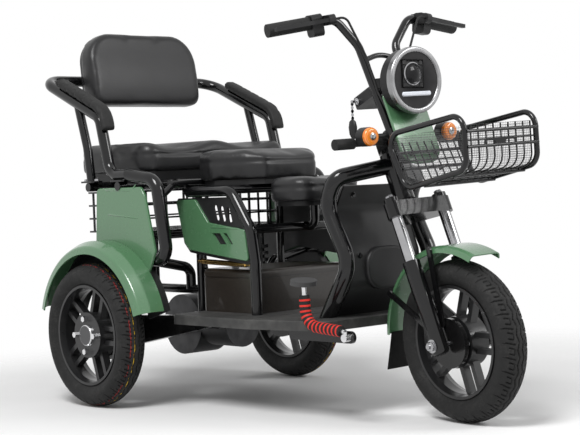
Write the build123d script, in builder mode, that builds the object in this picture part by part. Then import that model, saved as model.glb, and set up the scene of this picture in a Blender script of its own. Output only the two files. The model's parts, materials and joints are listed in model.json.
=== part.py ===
"""Electric tricycle: open tube frame, bench and two single seats, raked fork, wire basket."""
import os
from math import cos, radians, sin

from build123d import *

os.makedirs("parts", exist_ok=True)

# Layout in millimetres: +X forward, +Y to the rider's left, +Z up, ground at Z 0
WHEELBASE = 1056.0
TRACK = 740.0
REAR_REACH = 311.4
CLEAR = 0.3
RUN_GAP = 5.2

# Wheels
TYRE_R = 202.0
TYRE_W = 78.0
TYRE_H = 65.0
TYRE_WALL = 9.0
BEAD_W = 54.0
FLANGE_H = 4.0
FLANGE_T = 4.5
BARREL_T = 8.0
SPOKE_PAIRS = 5
SPOKE_W = 13.0
SPOKE_GAP = 40.0
SPOKE_DEEP = 22.0
HUB_R = 64.0
SHAFT_D = 20.0
NUT_CIRCLE_R = 46.0
NUT_D = 17.0
CAP_D = 60.0

# Steering head and fork, heights along the raked legs from the front axle
RAKE = 22.0
FORK_OFFSET = 40.0
REST_STEER = -6.0
LEG_Y = 80.0
LEG_D = 44.0
LEG_FOOT = 24.0
LEG_TOP = 218.0
STANCHION_D = 30.0
YOKE_LOW = 335.0
YOKE_HIGH = 375.0
HEAD_LOW = 392.0
HEAD_HIGH = 520.0
HEAD_D = 54.0
HEAD_BORE_D = 36.0
BRIDGE_GAP = 6.0
BRIDGE_T = 26.0
AXLE_D = 14.0
AXLE_END_D = 12.0
AXLE_END_L = 14.0

# Handlebar, lamp and basket; heights up from the front axle where they end in _UP
BAR_D = 22.0
BRACE_D = 14.0
GRIP_D = 34.0
GRIP_L = 112.0
RISER_AHEAD = 45.0
RISER_FOOT_Y = 48.0
RISER_TOP_Y = 61.0
RISER_TOP = 790.0
BAR_BEND = (-266.0, 122.0, 820.0)
BAR_END = (-302.0, 304.0, 796.0)
LAMP_X = -114.0
LAMP_UP = 650.0
LAMP_R = 84.0
BOWL_L = 88.0
PANEL_AHEAD = 72.0
PANEL_W = 128.0
PANEL_LOW = 446.0
PANEL_HIGH = 640.0
BASKET_Y = 115.0
BASKET_D = 14.0
BASKET_WIRE_D = 4.0

# Tubes of the fixed frame
LOOP_D = 42.0
LOOP_Y = 150.0
HOOP_D = 36.0
HOOP_Y = 303.0
SIDE_D = 30.0
SIDE_Y = 190.0
RAIL_D = 28.0
CROSS_TUBE_D = 25.0
RAIL_Z = 616.0
RAIL_Y = 235.0
ARM_D = 32.0
POST_D = 26.0
ARMREST_Y = 318.0

# Floor, body panels and seats
FLOOR_TOP = 260.0
FLOOR_T = 26.0
FLOOR_SKIN = 4.0
FLOOR_HALF = 285.0
FLOOR_REAR = 236.0
FLOOR_SPLIT = 560.0
FLOOR_NOSE_HALF = 232.0
FLOOR_FRONT = WHEELBASE - 256.0
PANEL_T = 4.0
BODY_Y = 330.0
BODY_DEEP = 8.0
FENDER_GAP = 62.0
FENDER_T = 3.5
FENDER_W = 80.0
FENDER_AHEAD = 20.0
BENCH_HALF = 262.0
BENCH_LOW = 655.0
BENCH_HIGH = 722.0
BENCH_REAR = -215.0
BENCH_FRONT = 130.0
PAN_T = 14.0
BACK_W = 395.0
BACK_LOW = 856.0
BACK_HIGH = 1076.0
BACK_T = 58.0
BACK_X = -246.0
BACK_LEAN = 6.0

REAR_X = (REAR_REACH - WHEELBASE - TYRE_R) / 2
AHEAD = Vector(cos(radians(RAKE)), 0, sin(radians(RAKE)))
UP_STEM = Vector(-sin(radians(RAKE)), 0, cos(radians(RAKE)))
FRONT_AXLE = Vector(REAR_X + WHEELBASE, 0, TYRE_R)
STEM = Axis(FRONT_AXLE - AHEAD * FORK_OFFSET, UP_STEM)
MIDDLE = Plane.XZ


def spot(x, y, z):
    """Point of the fixed frame, forward from the rear axle and up from the ground."""
    return Vector(REAR_X + x, y, z)


def nose(x, y, z):
    """Point of the fixed frame, forward and up from the front axle."""
    return FRONT_AXLE + Vector(x, y, z)


def turn(direction):
    """Direction of the steered assembly as it stands at rest."""
    return Vector(direction).rotate(STEM, REST_STEER)


def bar(x, y, z):
    """Point of the steered assembly from the front axle, given as if it pointed straight ahead."""
    return STEM.position + turn(nose(x, y, z) - STEM.position)


def steered(x, y, z, x_dir, z_dir):
    """Plane that turns with the steering, placed from the front axle."""
    return Plane(origin=bar(x, y, z), x_dir=turn(x_dir), z_dir=turn(z_dir))


def upright(x, y, z, x_dir, z_dir):
    """Plane of the fixed frame, placed from the rear axle."""
    return Plane(origin=spot(x, y, z), x_dir=x_dir, z_dir=z_dir)


def run_tube(points, bends, diameter):
    """Round bar along straight runs with filleted bends, added to the part in work."""
    with BuildLine() as route:
        if bends:
            FilletPolyline(*points, radius=bends)
        else:
            Polyline(*points)
    with BuildSketch(Plane(origin=route.line @ 0, z_dir=route.line % 0)) as ring:
        Circle(diameter / 2)
    sweep(ring.sketch, path=route.line)


pieces = []


def keep(builder, label):
    """Label a finished piece and list it for export."""
    builder.part.label = label
    pieces.append(builder.part)


FORK = steered(0, 0, 0, AHEAD, UP_STEM)
FRONT_HUB = steered(0, 0, 0, (1, 0, 0), (0, -1, 0))
STEER_MIDDLE = steered(0, 0, 0, (1, 0, 0), (0, 1, 0))


def fork_point(ahead, side, height):
    """Point of the steered assembly along the raked legs."""
    return FORK.from_local_coords((ahead, side, height))


# Wheels: tyre and cast rim, the outer side of each along its hub plane's normal
BEAD_R = TYRE_R - TYRE_H
FLANGE_R = BEAD_R + FLANGE_H
RIM_EDGE = BEAD_W / 2 + CLEAR + FLANGE_T
RIM_HALF = RIM_EDGE - 4
WHEELS = (
    ("front", FRONT_HUB, AXLE_D + 2),
    ("rear_right", upright(0, -TRACK / 2, TYRE_R, (1, 0, 0), (0, -1, 0)), SHAFT_D + 1),
    ("rear_left", upright(0, TRACK / 2, TYRE_R, (1, 0, 0), (0, 1, 0)), SHAFT_D + 1),
)
for side, hub, bore_d in WHEELS:
    across = Plane(origin=hub.origin, x_dir=hub.x_dir, z_dir=hub.x_dir.cross(hub.z_dir))
    spin = Axis(hub.origin, hub.z_dir)
    with BuildPart() as tyre:
        collar = FLANGE_R + 1
        shoulder = (TYRE_R - TYRE_H / 5, TYRE_W / 2 - 6)
        bulge = (TYRE_R - 0.55 * TYRE_H, TYRE_W / 2)
        inner = BEAD_W / 2 - TYRE_WALL
        with BuildSketch(across):
            with BuildLine():
                Line((BEAD_R, BEAD_W / 2), (collar, BEAD_W / 2))
                ThreePointArc((collar, BEAD_W / 2), bulge, shoulder)
                ThreePointArc(shoulder, (TYRE_R, 0), (shoulder[0], -shoulder[1]))
                ThreePointArc((shoulder[0], -shoulder[1]), (bulge[0], -bulge[1]), (collar, -BEAD_W / 2))
                Polyline((collar, -BEAD_W / 2), (BEAD_R, -BEAD_W / 2), (BEAD_R, -inner))
                ThreePointArc((BEAD_R, -inner), (TYRE_R - TYRE_WALL - 2, 0), (BEAD_R, inner))
                Line((BEAD_R, inner), (BEAD_R, BEAD_W / 2))
            make_face()
        revolve(axis=spin)
    keep(tyre, f"{side}_tyre")
    with BuildPart() as rim:
        seat = BEAD_R - CLEAR
        lip = BEAD_W / 2 + CLEAR
        with BuildSketch(across):
            with BuildLine():
                Polyline(
                    (FLANGE_R, RIM_EDGE), (FLANGE_R, lip), (seat, lip), (seat, -lip),
                    (FLANGE_R, -lip), (FLANGE_R, -RIM_EDGE), (seat - 3, -RIM_EDGE),
                    (seat - BARREL_T, -lip / 2), (seat - BARREL_T, lip / 2), (seat - 3, RIM_EDGE),
                    close=True,
                )
            make_face()
        revolve(axis=spin)
        with BuildSketch(hub):
            with PolarLocations(0, SPOKE_PAIRS):
                with Locations((BEAD_R / 2, SPOKE_GAP / 2), (BEAD_R / 2, -SPOKE_GAP / 2)):
                    Rectangle(BEAD_R - BARREL_T, SPOKE_W)
        extrude(amount=SPOKE_DEEP / 2, both=True)
        with BuildSketch(hub):
            Circle(HUB_R)
        extrude(amount=RIM_HALF, both=True)
        with BuildSketch(hub):
            Circle(bore_d / 2)
        extrude(amount=RIM_EDGE, both=True, mode=Mode.SUBTRACT)
    keep(rim, f"{side}_rim")

HALF_SHAFT_L = 120.0
CAP_H = 8.0
NUT_H = 14.0
for side, hub, bore_d in WHEELS[1:]:
    with BuildPart() as hub_set:
        with BuildSketch(hub.offset(RIM_HALF)):
            Circle(CAP_D / 2)
        extrude(amount=CAP_H)
        fillet(hub_set.faces().sort_by(Axis(hub.origin, hub.z_dir))[-1].edges(), CAP_H / 2)
        with BuildSketch(hub.offset(RIM_HALF)):
            with PolarLocations(NUT_CIRCLE_R, 4):
                RegularPolygon(NUT_D / 2, 6)
        extrude(amount=NUT_H)
        with BuildSketch(hub.offset(RIM_HALF)):
            Circle(SHAFT_D / 2)
        extrude(amount=-HALF_SHAFT_L)
    keep(hub_set, f"{side}_hub")

# Floor: chassis rails inside a moulded board that is open below
RAIL_H = 34.0
RAIL_REAR = 196.0
RAIL_MID = FLOOR_TOP - FLOOR_SKIN - RAIL_H / 2
FLOOR_RAIL_W = 40.0
ARM_Y = 215.0
ARM_W = 28.0
ARM_PIVOT_X = 330.0
CROSS_W = 36.0
PEDAL_PIVOT_X = FLOOR_FRONT + 98
BRACKET_L = 240.0
BRACKET_T = 8.0
with BuildPart() as chassis:
    for end in (-1, 1):
        with BuildSketch(upright(RAIL_REAR, end * LOOP_Y, RAIL_MID, (0, 1, 0), (1, 0, 0))):
            RectangleRounded(FLOOR_RAIL_W, RAIL_H, 6)
        extrude(amount=FLOOR_FRONT - 30 - RAIL_REAR)
    for x in (ARM_PIVOT_X + 18 + CROSS_W / 2, FLOOR_FRONT - 90):
        with BuildSketch(upright(x, 0, RAIL_MID, (1, 0, 0), (0, -1, 0))):
            RectangleRounded(CROSS_W, RAIL_H, 6)
        extrude(amount=ARM_Y + ARM_W / 2, both=True)
    with BuildSketch(upright(PEDAL_PIVOT_X - BRACKET_L / 2 + 15, -ARM_Y - ARM_W / 2, RAIL_MID - 14, (1, 0, 0), (0, -1, 0))):
        SlotOverall(BRACKET_L, 30)
    extrude(amount=BRACKET_T)
keep(chassis, "chassis_rails")

GROOVE_W = 8.0
GROOVE_DEEP = 1.5
GROOVE_L = 130.0
with BuildPart() as footboard:
    with BuildSketch(upright(0, 0, FLOOR_TOP - FLOOR_T, (1, 0, 0), (0, 0, 1))):
        with BuildLine():
            Polyline(
                (FLOOR_REAR, -FLOOR_HALF), (FLOOR_SPLIT, -FLOOR_HALF), (FLOOR_FRONT, -FLOOR_NOSE_HALF),
                (FLOOR_FRONT, FLOOR_NOSE_HALF), (FLOOR_SPLIT, FLOOR_HALF), (FLOOR_REAR, FLOOR_HALF), close=True,
            )
        make_face()
        fillet(vertices(), 30)
    extrude(amount=FLOOR_T)
    fillet(footboard.faces().sort_by(Axis.Z)[-1].edges(), 5)
    offset(amount=-FLOOR_SKIN, openings=footboard.faces().sort_by(Axis.Z)[0])
    with BuildSketch(upright(FLOOR_SPLIT, 0, FLOOR_TOP, (1, 0, 0), (0, 0, 1))):
        Rectangle(3, 2 * FLOOR_HALF)
        with Locations((GROOVE_L / 2 + 18, 0)):
            with GridLocations(0, 30, 1, 7):
                SlotOverall(GROOVE_L, GROOVE_W)
    extrude(amount=-GROOVE_DEEP, mode=Mode.SUBTRACT)
    add(chassis.part, mode=Mode.SUBTRACT)
keep(footboard, "footboard")

# Rear axle: beam with drum back plates and trailing arms, motor and differential
BEAM_D = 56.0
PLATE_D = 150.0
PLATE_W = 14.0
ARM_EYE_R = 42.0
PIVOT_R = 16.0
BEAM_HALF = TRACK / 2 - RIM_EDGE - RUN_GAP
AXLE_MID = upright(0, 0, TYRE_R, (1, 0, 0), (0, -1, 0))
with BuildPart() as rear_axle:
    with BuildSketch(AXLE_MID):
        Circle(BEAM_D / 2)
    extrude(amount=BEAM_HALF, both=True)
    for end in (-1, 1):
        with BuildSketch(upright(0, end * BEAM_HALF, TYRE_R, (1, 0, 0), (0, -end, 0))):
            Circle(PLATE_D / 2)
        extrude(amount=PLATE_W)
        with BuildSketch(upright(0, end * ARM_Y, TYRE_R, (1, 0, 0), (0, -1, 0))):
            Circle(ARM_EYE_R)
            with Locations((ARM_PIVOT_X, RAIL_MID - TYRE_R)):
                Circle(PIVOT_R)
            make_hull()
        extrude(amount=ARM_W / 2, both=True)
    with BuildSketch(AXLE_MID):
        Circle(SHAFT_D / 2 + 1)
    extrude(amount=BEAM_HALF, both=True, mode=Mode.SUBTRACT)
    add(footboard.part, mode=Mode.SUBTRACT)
keep(rear_axle, "rear_axle")

DRIVE_R = 88.0
DRIVE_W = 110.0
DRIVE_SIDE = -60.0
MOTOR_R = 62.0
MOTOR_L = 120.0
with BuildPart() as drive_unit:
    with BuildSketch(upright(0, DRIVE_SIDE, TYRE_R, (1, 0, 0), (0, 1, 0))):
        Circle(DRIVE_R)
        Circle(BEAM_D / 2 + CLEAR, mode=Mode.SUBTRACT)
    extrude(amount=DRIVE_W)
    with BuildSketch(upright(DRIVE_R - 2, 0, TYRE_R, (0, 1, 0), (1, 0, 0))):
        Circle(MOTOR_R)
    extrude(amount=MOTOR_L)
keep(drive_unit, "drive_unit")

# Front loops and head tube, welded
HEAD = Plane(STEM.position, z_dir=UP_STEM)
with BuildPart() as front_frame:
    weld = STEM.position + UP_STEM * (HEAD_HIGH - 30)
    run_tube(
        (nose(-332, -LOOP_Y, FLOOR_TOP - TYRE_R - 8), nose(-238, -LOOP_Y, 196), nose(-318, -LOOP_Y, 346),
         nose(-281, -LOOP_Y, 413), weld + Vector(0, -8, 0)),
        (70, 70, 35), LOOP_D,
    )
    mirror(about=MIDDLE)
    with BuildSketch(HEAD.offset(HEAD_LOW)):
        Circle(HEAD_D / 2)
    extrude(amount=HEAD_HIGH - HEAD_LOW)
    with BuildSketch(HEAD.offset(HEAD_LOW)):
        Circle(HEAD_BORE_D / 2)
    extrude(amount=HEAD_HIGH - HEAD_LOW, mode=Mode.SUBTRACT)
    split(bisect_by=Plane.XY.offset(FLOOR_TOP), keep=Keep.TOP)
keep(front_frame, "front_frame")

SHIELD_HALF = LOOP_Y - LOOP_D / 2 - 1
with BuildPart() as leg_shield:
    with BuildSketch(Plane(origin=FRONT_AXLE, x_dir=(1, 0, 0), z_dir=(0, -1, 0))):
        with BuildLine():
            FilletPolyline(
                (-330, FLOOR_TOP - TYRE_R - 8), (-262, 138), (-266, 218), (-308, 330), (-274, 392), radius=40,
            )
        trace(line_width=PANEL_T)
    extrude(amount=SHIELD_HALF, both=True)
    with BuildSketch(Plane(origin=nose(-267, 0, 178), x_dir=(0, 1, 0), z_dir=(1, 0, 0))):
        RectangleRounded(150, 110, 50)
    extrude(amount=16)
    fillet(leg_shield.faces().sort_by(Axis.X)[-1].edges(), 8)
    add(front_frame.part, mode=Mode.SUBTRACT)
    split(bisect_by=Plane.XY.offset(FLOOR_TOP), keep=Keep.TOP)
keep(leg_shield, "leg_shield")

# Rear frame: bench rails, cross tubes that carry the armrests, posts and damper cross tube
BENCH_END = 222.0
RAIL_BACK = -185.0
KICK_Z = 318.0
TOWER_Z = 470.0
STRUT_D = 22.0
ARM_CROSS_X = (-62.0, 82.0)
with BuildPart() as rear_frame:
    run_tube(
        (spot(BENCH_END, -RAIL_Y, RAIL_Z), spot(RAIL_BACK, -RAIL_Y, RAIL_Z),
         spot(RAIL_BACK, RAIL_Y, RAIL_Z), spot(BENCH_END, RAIL_Y, RAIL_Z)), (50, 50), RAIL_D,
    )
    run_tube((spot(BENCH_END - 8, -RAIL_Y - 14, RAIL_Z), spot(BENCH_END - 8, RAIL_Y + 14, RAIL_Z)), (), CROSS_TUBE_D)
    for x in ARM_CROSS_X:
        run_tube((spot(x, -ARMREST_Y - 14, RAIL_Z), spot(x, ARMREST_Y + 14, RAIL_Z)), (), CROSS_TUBE_D)
    run_tube((spot(0, -LOOP_Y - 130, TOWER_Z), spot(0, LOOP_Y + 130, TOWER_Z)), (), RAIL_D)
    for end in (-1, 1):
        run_tube(
            (spot(RAIL_REAR + 14, end * LOOP_Y, RAIL_MID), spot(BENCH_END - 8, end * LOOP_Y, RAIL_Z)), (), STRUT_D,
        )
        run_tube(
            (spot(RAIL_REAR + 14, end * LOOP_Y, KICK_Z), spot(-150, end * LOOP_Y, KICK_Z),
             spot(RAIL_BACK, end * LOOP_Y, RAIL_Z)), (45,), CROSS_TUBE_D,
        )
        run_tube((spot(0, end * LOOP_Y, KICK_Z), spot(0, end * LOOP_Y, TOWER_Z)), (), STRUT_D)
    add(chassis.part, mode=Mode.SUBTRACT)
keep(rear_frame, "rear_frame")

# Hoops: from the armrest feet forward, down the body's front edge and back under it
ARM_FOOT_X = 118.0
PLATE_T = 5.0
ARM_FOOT_Z = RAIL_Z + CROSS_TUBE_D / 2 + PLATE_T + ARM_D / 2 - 2
HOOP_LOW = 411.0
HOOP_AHEAD = 264.0
with BuildPart() as rear_hoops:
    run_tube(
        (spot(ARM_FOOT_X + CLEAR, -ARMREST_Y, ARM_FOOT_Z), spot(226, -HOOP_Y, ARM_FOOT_Z - 18),
         spot(HOOP_AHEAD, -HOOP_Y, HOOP_LOW), spot(150, -HOOP_Y, HOOP_LOW)), (46, 36), HOOP_D,
    )
    run_tube((spot(165, -HOOP_Y, HOOP_LOW), spot(165, -LOOP_Y, KICK_Z + 60), spot(165, -LOOP_Y, KICK_Z)), (30,), RAIL_D)
    run_tube((spot(BENCH_END - 8, -RAIL_Y, RAIL_Z), spot(BENCH_END + 10, -HOOP_Y, RAIL_Z - 40)), (), 20)
    mirror(about=MIDDLE)
    add(rear_frame.part, mode=Mode.SUBTRACT)
keep(rear_hoops, "rear_hoops")

DAMPER_Y = 250.0
DAMPER_D = 28.0
SPRING_D = 52.0
SPRING_LOW = 285.0
SPRING_L = 145.0
SPRING_TURNS = 7
with BuildPart() as dampers:
    with BuildSketch(upright(0, -DAMPER_Y, TYRE_R, (1, 0, 0), (0, 0, 1))):
        Circle(DAMPER_D / 2)
    extrude(amount=TOWER_Z - TYRE_R)
    for coil in range(SPRING_TURNS):
        with BuildSketch(upright(0, -DAMPER_Y, SPRING_LOW + coil * SPRING_L / SPRING_TURNS, (1, 0, 0), (0, 0, 1))):
            Circle(SPRING_D / 2)
        extrude(amount=SPRING_L / SPRING_TURNS / 2)
    mirror(about=MIDDLE)
    add(rear_axle.part, mode=Mode.SUBTRACT)
    add(rear_frame.part, mode=Mode.SUBTRACT)
    split(bisect_by=Plane.XY.offset(TYRE_R + BEAM_D / 4), keep=Keep.TOP)
keep(dampers, "dampers")

# Seat frame: side loops with cross tubes and the child seat's bracket
LOOP_TOP = 592.0
KNEE = (484.0, 487.0)
LOOP_FOOT_X = 497.0
CHILD_X = 530.0
CHILD_LOW = 545.0
BRACKET_D = 24.0
with BuildPart() as seat_frame:
    run_tube(
        (spot(BENCH_END, -SIDE_Y, LOOP_TOP), spot(408, -SIDE_Y, LOOP_TOP), spot(KNEE[0], -SIDE_Y, KNEE[1]),
         spot(LOOP_FOOT_X, -SIDE_Y, 400), spot(LOOP_FOOT_X, -SIDE_Y, FLOOR_TOP - 10)), (50, 60, 60), SIDE_D,
    )
    mirror(about=MIDDLE)
    for x in (290, 390):
        seat_tube = LOOP_TOP + (SIDE_D - BRACKET_D) / 2
        run_tube((spot(x, -SIDE_Y, seat_tube), spot(x, SIDE_Y, seat_tube)), (), BRACKET_D)
    run_tube((spot(KNEE[0], -SIDE_Y, KNEE[1]), spot(KNEE[0], SIDE_Y, KNEE[1])), (), BRACKET_D)
    run_tube(
        (spot(KNEE[0], 0, KNEE[1]), spot(CHILD_X, 0, KNEE[1]), spot(CHILD_X, 0, CHILD_LOW)), (22,), BRACKET_D,
    )
    add(rear_frame.part, mode=Mode.SUBTRACT)
    split(bisect_by=Plane.XY.offset(FLOOR_TOP), keep=Keep.TOP)
keep(seat_frame, "seat_frame")

BOX_X = 356.0
BOX_L = 236.0
BOX_W = 340.0
BOX_TOP = 378.0
with BuildPart() as battery_box:
    with BuildSketch(upright(BOX_X, 0, FLOOR_TOP, (1, 0, 0), (0, 0, 1))):
        RectangleRounded(BOX_L, BOX_W, 20)
    extrude(amount=BOX_TOP - FLOOR_TOP)
    fillet(battery_box.faces().sort_by(Axis.Z)[-1].edges(), 14)
    with BuildSketch(upright(BOX_X, 0, BOX_TOP - 24, (1, 0, 0), (0, 0, 1))):
        RectangleRounded(BOX_L + 1, BOX_W + 1, 20)
        RectangleRounded(BOX_L - 4, BOX_W - 4, 19, mode=Mode.SUBTRACT)
    extrude(amount=3, mode=Mode.SUBTRACT)
keep(battery_box, "battery_box")

# Side covers inside the loops with three slots, and the painted trim that steps round them
COVER = ((168, 575), (400, 575), (467, 482), (480, 392), (222, 424), (196, 450))
TRIM = ((172, 571), (258, 571), (313, 507), (466, 487), (478, 402), (226, 431), (204, 452))
STRIPES = ((330, 34), (378, 14))
STRIPE_TOP = 478.0
STRIPE_DROP = 30.0
STRIPE_LEAN = 26.0
with BuildPart() as side_covers:
    with BuildSketch(upright(0, -SIDE_Y, 0, (1, 0, 0), (0, -1, 0))):
        with BuildLine():
            Polyline(*COVER, close=True)
        make_face()
        fillet(vertices(), 10)
        with Locations((345, 533), (372, 530), (399, 526)):
            SlotOverall(44, 13, rotation=106, mode=Mode.SUBTRACT)
    extrude(amount=PANEL_T / 2, both=True)
    mirror(about=MIDDLE)
    add(seat_frame.part, mode=Mode.SUBTRACT)
    add(rear_frame.part, mode=Mode.SUBTRACT)
keep(side_covers, "side_covers")
with BuildPart() as side_trims:
    with BuildSketch(upright(0, -SIDE_Y - PANEL_T / 2, 0, (1, 0, 0), (0, -1, 0))):
        with BuildLine():
            Polyline(*TRIM, close=True)
        make_face()
        fillet(vertices(), 9)
        for x, width in STRIPES:
            with BuildLine():
                Polyline(
                    (x, STRIPE_TOP), (x + width, STRIPE_TOP), (x + width + STRIPE_LEAN, STRIPE_TOP - STRIPE_DROP),
                    (x + STRIPE_LEAN, STRIPE_TOP - STRIPE_DROP), close=True,
                )
            make_face(mode=Mode.SUBTRACT)
    extrude(amount=PANEL_T + 3)
    fillet(side_trims.faces().sort_by(Axis.Y)[0].outer_wire().edges(), 2.5)
    mirror(about=MIDDLE)
    add(seat_frame.part, mode=Mode.SUBTRACT)
keep(side_trims, "side_trims")


def arch(start):
    """Radial section plane of the rear wheel arches, at an angle up from straight ahead."""
    lean = radians(start)
    return upright(FENDER_AHEAD, 0, TYRE_R, (0, -1, 0), (-sin(lean), 0, cos(lean)))


# Rear body: moulded panel with turned edges, crowned fender and liner on each side
CROWN_R = TYRE_R + FENDER_GAP
FENDER_START = 16.0
FENDER_SWEEP = 148.0
ARCH_AXIS = Axis(spot(FENDER_AHEAD, 0, TYRE_R), (0, -1, 0))
BODY = ((-40, 430), (-24, 612), (186, 612), (204, 588), (241, 434), (200, 360))


def body_outline(arch_r):
    """Rear body's side outline, cut round by the wheel arch."""
    with BuildLine() as edge:
        Polyline(*BODY, close=True)
    make_face(edge.edges())
    fillet(vertices(), 16)
    with Locations((FENDER_AHEAD, TYRE_R)):
        Circle(arch_r - FENDER_T, mode=Mode.SUBTRACT)


with BuildPart() as rear_panels:
    with BuildSketch(upright(0, -BODY_Y, 0, (1, 0, 0), (0, -1, 0))):
        body_outline(CROWN_R)
    extrude(amount=-BODY_DEEP)
    fillet(rear_panels.faces().sort_by(Axis.Y)[0].edges(), PANEL_T)
    with BuildSketch(upright(0, PANEL_T - BODY_Y, 0, (1, 0, 0), (0, -1, 0))):
        body_outline(CROWN_R)
        offset(amount=-PANEL_T)
    extrude(amount=PANEL_T - BODY_DEEP, mode=Mode.SUBTRACT)
    mirror(about=MIDDLE)
    add(rear_frame.part, mode=Mode.SUBTRACT)
    add(rear_hoops.part, mode=Mode.SUBTRACT)
keep(rear_panels, "rear_panels")

with BuildPart() as rear_fenders:
    crown = CROWN_R - FENDER_T / 2
    outer = BODY_Y + FENDER_W
    with BuildSketch(arch(FENDER_START)):
        with BuildLine():
            FilletPolyline(
                (BODY_Y + CLEAR, crown), (outer - 34, crown), (outer - 7, crown - 14), (outer - 2, crown - 34), radius=10,
            )
        trace(line_width=FENDER_T)
    revolve(axis=ARCH_AXIS, revolution_arc=FENDER_SWEEP)
    mirror(about=MIDDLE)
    add(rear_panels.part, mode=Mode.SUBTRACT)
keep(rear_fenders, "rear_fenders")

LINER_Y = 306.0
LINER_R = 160.0
LINER_T = 3.0
with BuildPart() as rear_liners:
    under = CROWN_R - FENDER_T - CLEAR
    with BuildSketch(arch(FENDER_START)):
        with BuildLine():
            Polyline(
                (LINER_Y, LINER_R), (LINER_Y + LINER_T, LINER_R), (LINER_Y + LINER_T, under - LINER_T),
                (BODY_Y + 6, under - LINER_T), (BODY_Y + 6, under), (LINER_Y, under), close=True,
            )
        make_face()
    revolve(axis=ARCH_AXIS, revolution_arc=FENDER_SWEEP)
    mirror(about=MIDDLE)
    for neighbour in (rear_frame, rear_hoops, rear_panels, rear_axle):
        add(neighbour.part, mode=Mode.SUBTRACT)
keep(rear_liners, "rear_liners")

# Wire cage under the bench
CAGE_LOW = TOWER_Z + RAIL_D / 2
CAGE_HIGH = RAIL_Z - RAIL_D / 2
CAGE_X = 12.0
CAGE_L = 300.0
CAGE_W = 560.0
CAGE_WIRE = 5.0
CAGE_COLS = 7
CAGE_ROWS = 4
with BuildPart() as rear_cage:
    for row in range(CAGE_ROWS):
        level = CAGE_LOW + row * (CAGE_HIGH - CAGE_LOW - CAGE_WIRE) / (CAGE_ROWS - 1)
        with BuildSketch(upright(CAGE_X, 0, level, (1, 0, 0), (0, 0, 1))):
            Rectangle(CAGE_L, CAGE_W)
            Rectangle(CAGE_L - 2 * CAGE_WIRE, CAGE_W - 2 * CAGE_WIRE, mode=Mode.SUBTRACT)
        extrude(amount=CAGE_WIRE)
    with BuildSketch(upright(CAGE_X, 0, CAGE_LOW, (1, 0, 0), (0, 0, 1))):
        with GridLocations(CAGE_L / CAGE_COLS, CAGE_W - CAGE_WIRE, CAGE_COLS, 2):
            Rectangle(CAGE_WIRE, CAGE_WIRE)
        with GridLocations(CAGE_L - CAGE_WIRE, CAGE_W / CAGE_COLS, 2, CAGE_COLS):
            Rectangle(CAGE_WIRE, CAGE_WIRE)
    extrude(amount=CAGE_HIGH - CAGE_LOW)
    with BuildSketch(upright(CAGE_X, 0, CAGE_LOW, (1, 0, 0), (0, 0, 1))):
        with GridLocations(CAGE_L / CAGE_COLS, 0, CAGE_COLS, 1):
            Rectangle(CAGE_WIRE, CAGE_W)
    extrude(amount=CAGE_WIRE)
    add(rear_frame.part, mode=Mode.SUBTRACT)
keep(rear_cage, "rear_cage")

# Seats: cushions on flat pans
BENCH_X = (BENCH_REAR + BENCH_FRONT) / 2
BENCH_L = BENCH_FRONT - BENCH_REAR
PAN_INSET = 10.0
SADDLE_LOW = LOOP_TOP + SIDE_D / 2
SADDLE_HIGH = 690.0
SADDLE = ((222, -150), (300, -170), (400, -125), (440, -90), (440, 90), (400, 125), (300, 170), (222, 150))
CHILD_HIGH = 615.0
CHILD_PAN_T = 12.0
CHILD_L = 150.0
CHILD_W = 230.0


def saddle_outline():
    """Driver's seat outline, wide behind the middle and narrowing to the nose."""
    with BuildLine() as edge:
        Polyline(*SADDLE, close=True)
    make_face(edge.edges())
    fillet(vertices(), 20)


with BuildPart() as bench_cushion:
    with BuildSketch(upright(BENCH_X, 0, BENCH_LOW, (1, 0, 0), (0, 0, 1))):
        RectangleRounded(BENCH_L, 2 * BENCH_HALF, 45)
    extrude(amount=BENCH_HIGH - BENCH_LOW)
    fillet(bench_cushion.faces().sort_by(Axis.Z)[-1].edges(), 22)
keep(bench_cushion, "bench_cushion")
with BuildPart() as driver_cushion:
    with BuildSketch(upright(0, 0, SADDLE_LOW + PAN_T, (1, 0, 0), (0, 0, 1))):
        saddle_outline()
    extrude(amount=SADDLE_HIGH - SADDLE_LOW - PAN_T)
    fillet(driver_cushion.faces().sort_by(Axis.Z)[-1].edges(), 16)
    add(rear_frame.part, mode=Mode.SUBTRACT)
keep(driver_cushion, "driver_cushion")
with BuildPart() as child_cushion:
    with BuildSketch(upright(CHILD_X + 4, 0, CHILD_LOW + CHILD_PAN_T, (1, 0, 0), (0, 0, 1))):
        RectangleRounded(CHILD_L, CHILD_W, 50)
    extrude(amount=CHILD_HIGH - CHILD_LOW - CHILD_PAN_T)
    fillet(child_cushion.faces().sort_by(Axis.Z)[-1].edges(), 18)
keep(child_cushion, "child_cushion")
with BuildPart() as seat_pans:
    with BuildSketch(upright(BENCH_X, 0, RAIL_Z + RAIL_D / 2, (1, 0, 0), (0, 0, 1))):
        RectangleRounded(BENCH_L - 2 * PAN_INSET, 2 * (BENCH_HALF - PAN_INSET), 30)
    extrude(amount=BENCH_LOW - RAIL_Z - RAIL_D / 2)
    with BuildSketch(upright(0, 0, SADDLE_LOW, (1, 0, 0), (0, 0, 1))):
        saddle_outline()
        offset(amount=-PAN_INSET)
    extrude(amount=PAN_T)
    with BuildSketch(upright(CHILD_X, 0, CHILD_LOW, (1, 0, 0), (0, 0, 1))):
        RectangleRounded(CHILD_L - 2 * PAN_INSET, CHILD_W - 3 * PAN_INSET, 40)
    extrude(amount=CHILD_PAN_T)
    add(rear_frame.part, mode=Mode.SUBTRACT)
keep(seat_pans, "seat_pans")

SHELL_T = 6.0
LEAN = radians(BACK_LEAN)
BACK = upright(BACK_X, 0, (BACK_LOW + BACK_HIGH) / 2, (0, 1, 0), (cos(LEAN), 0, sin(LEAN)))


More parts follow.
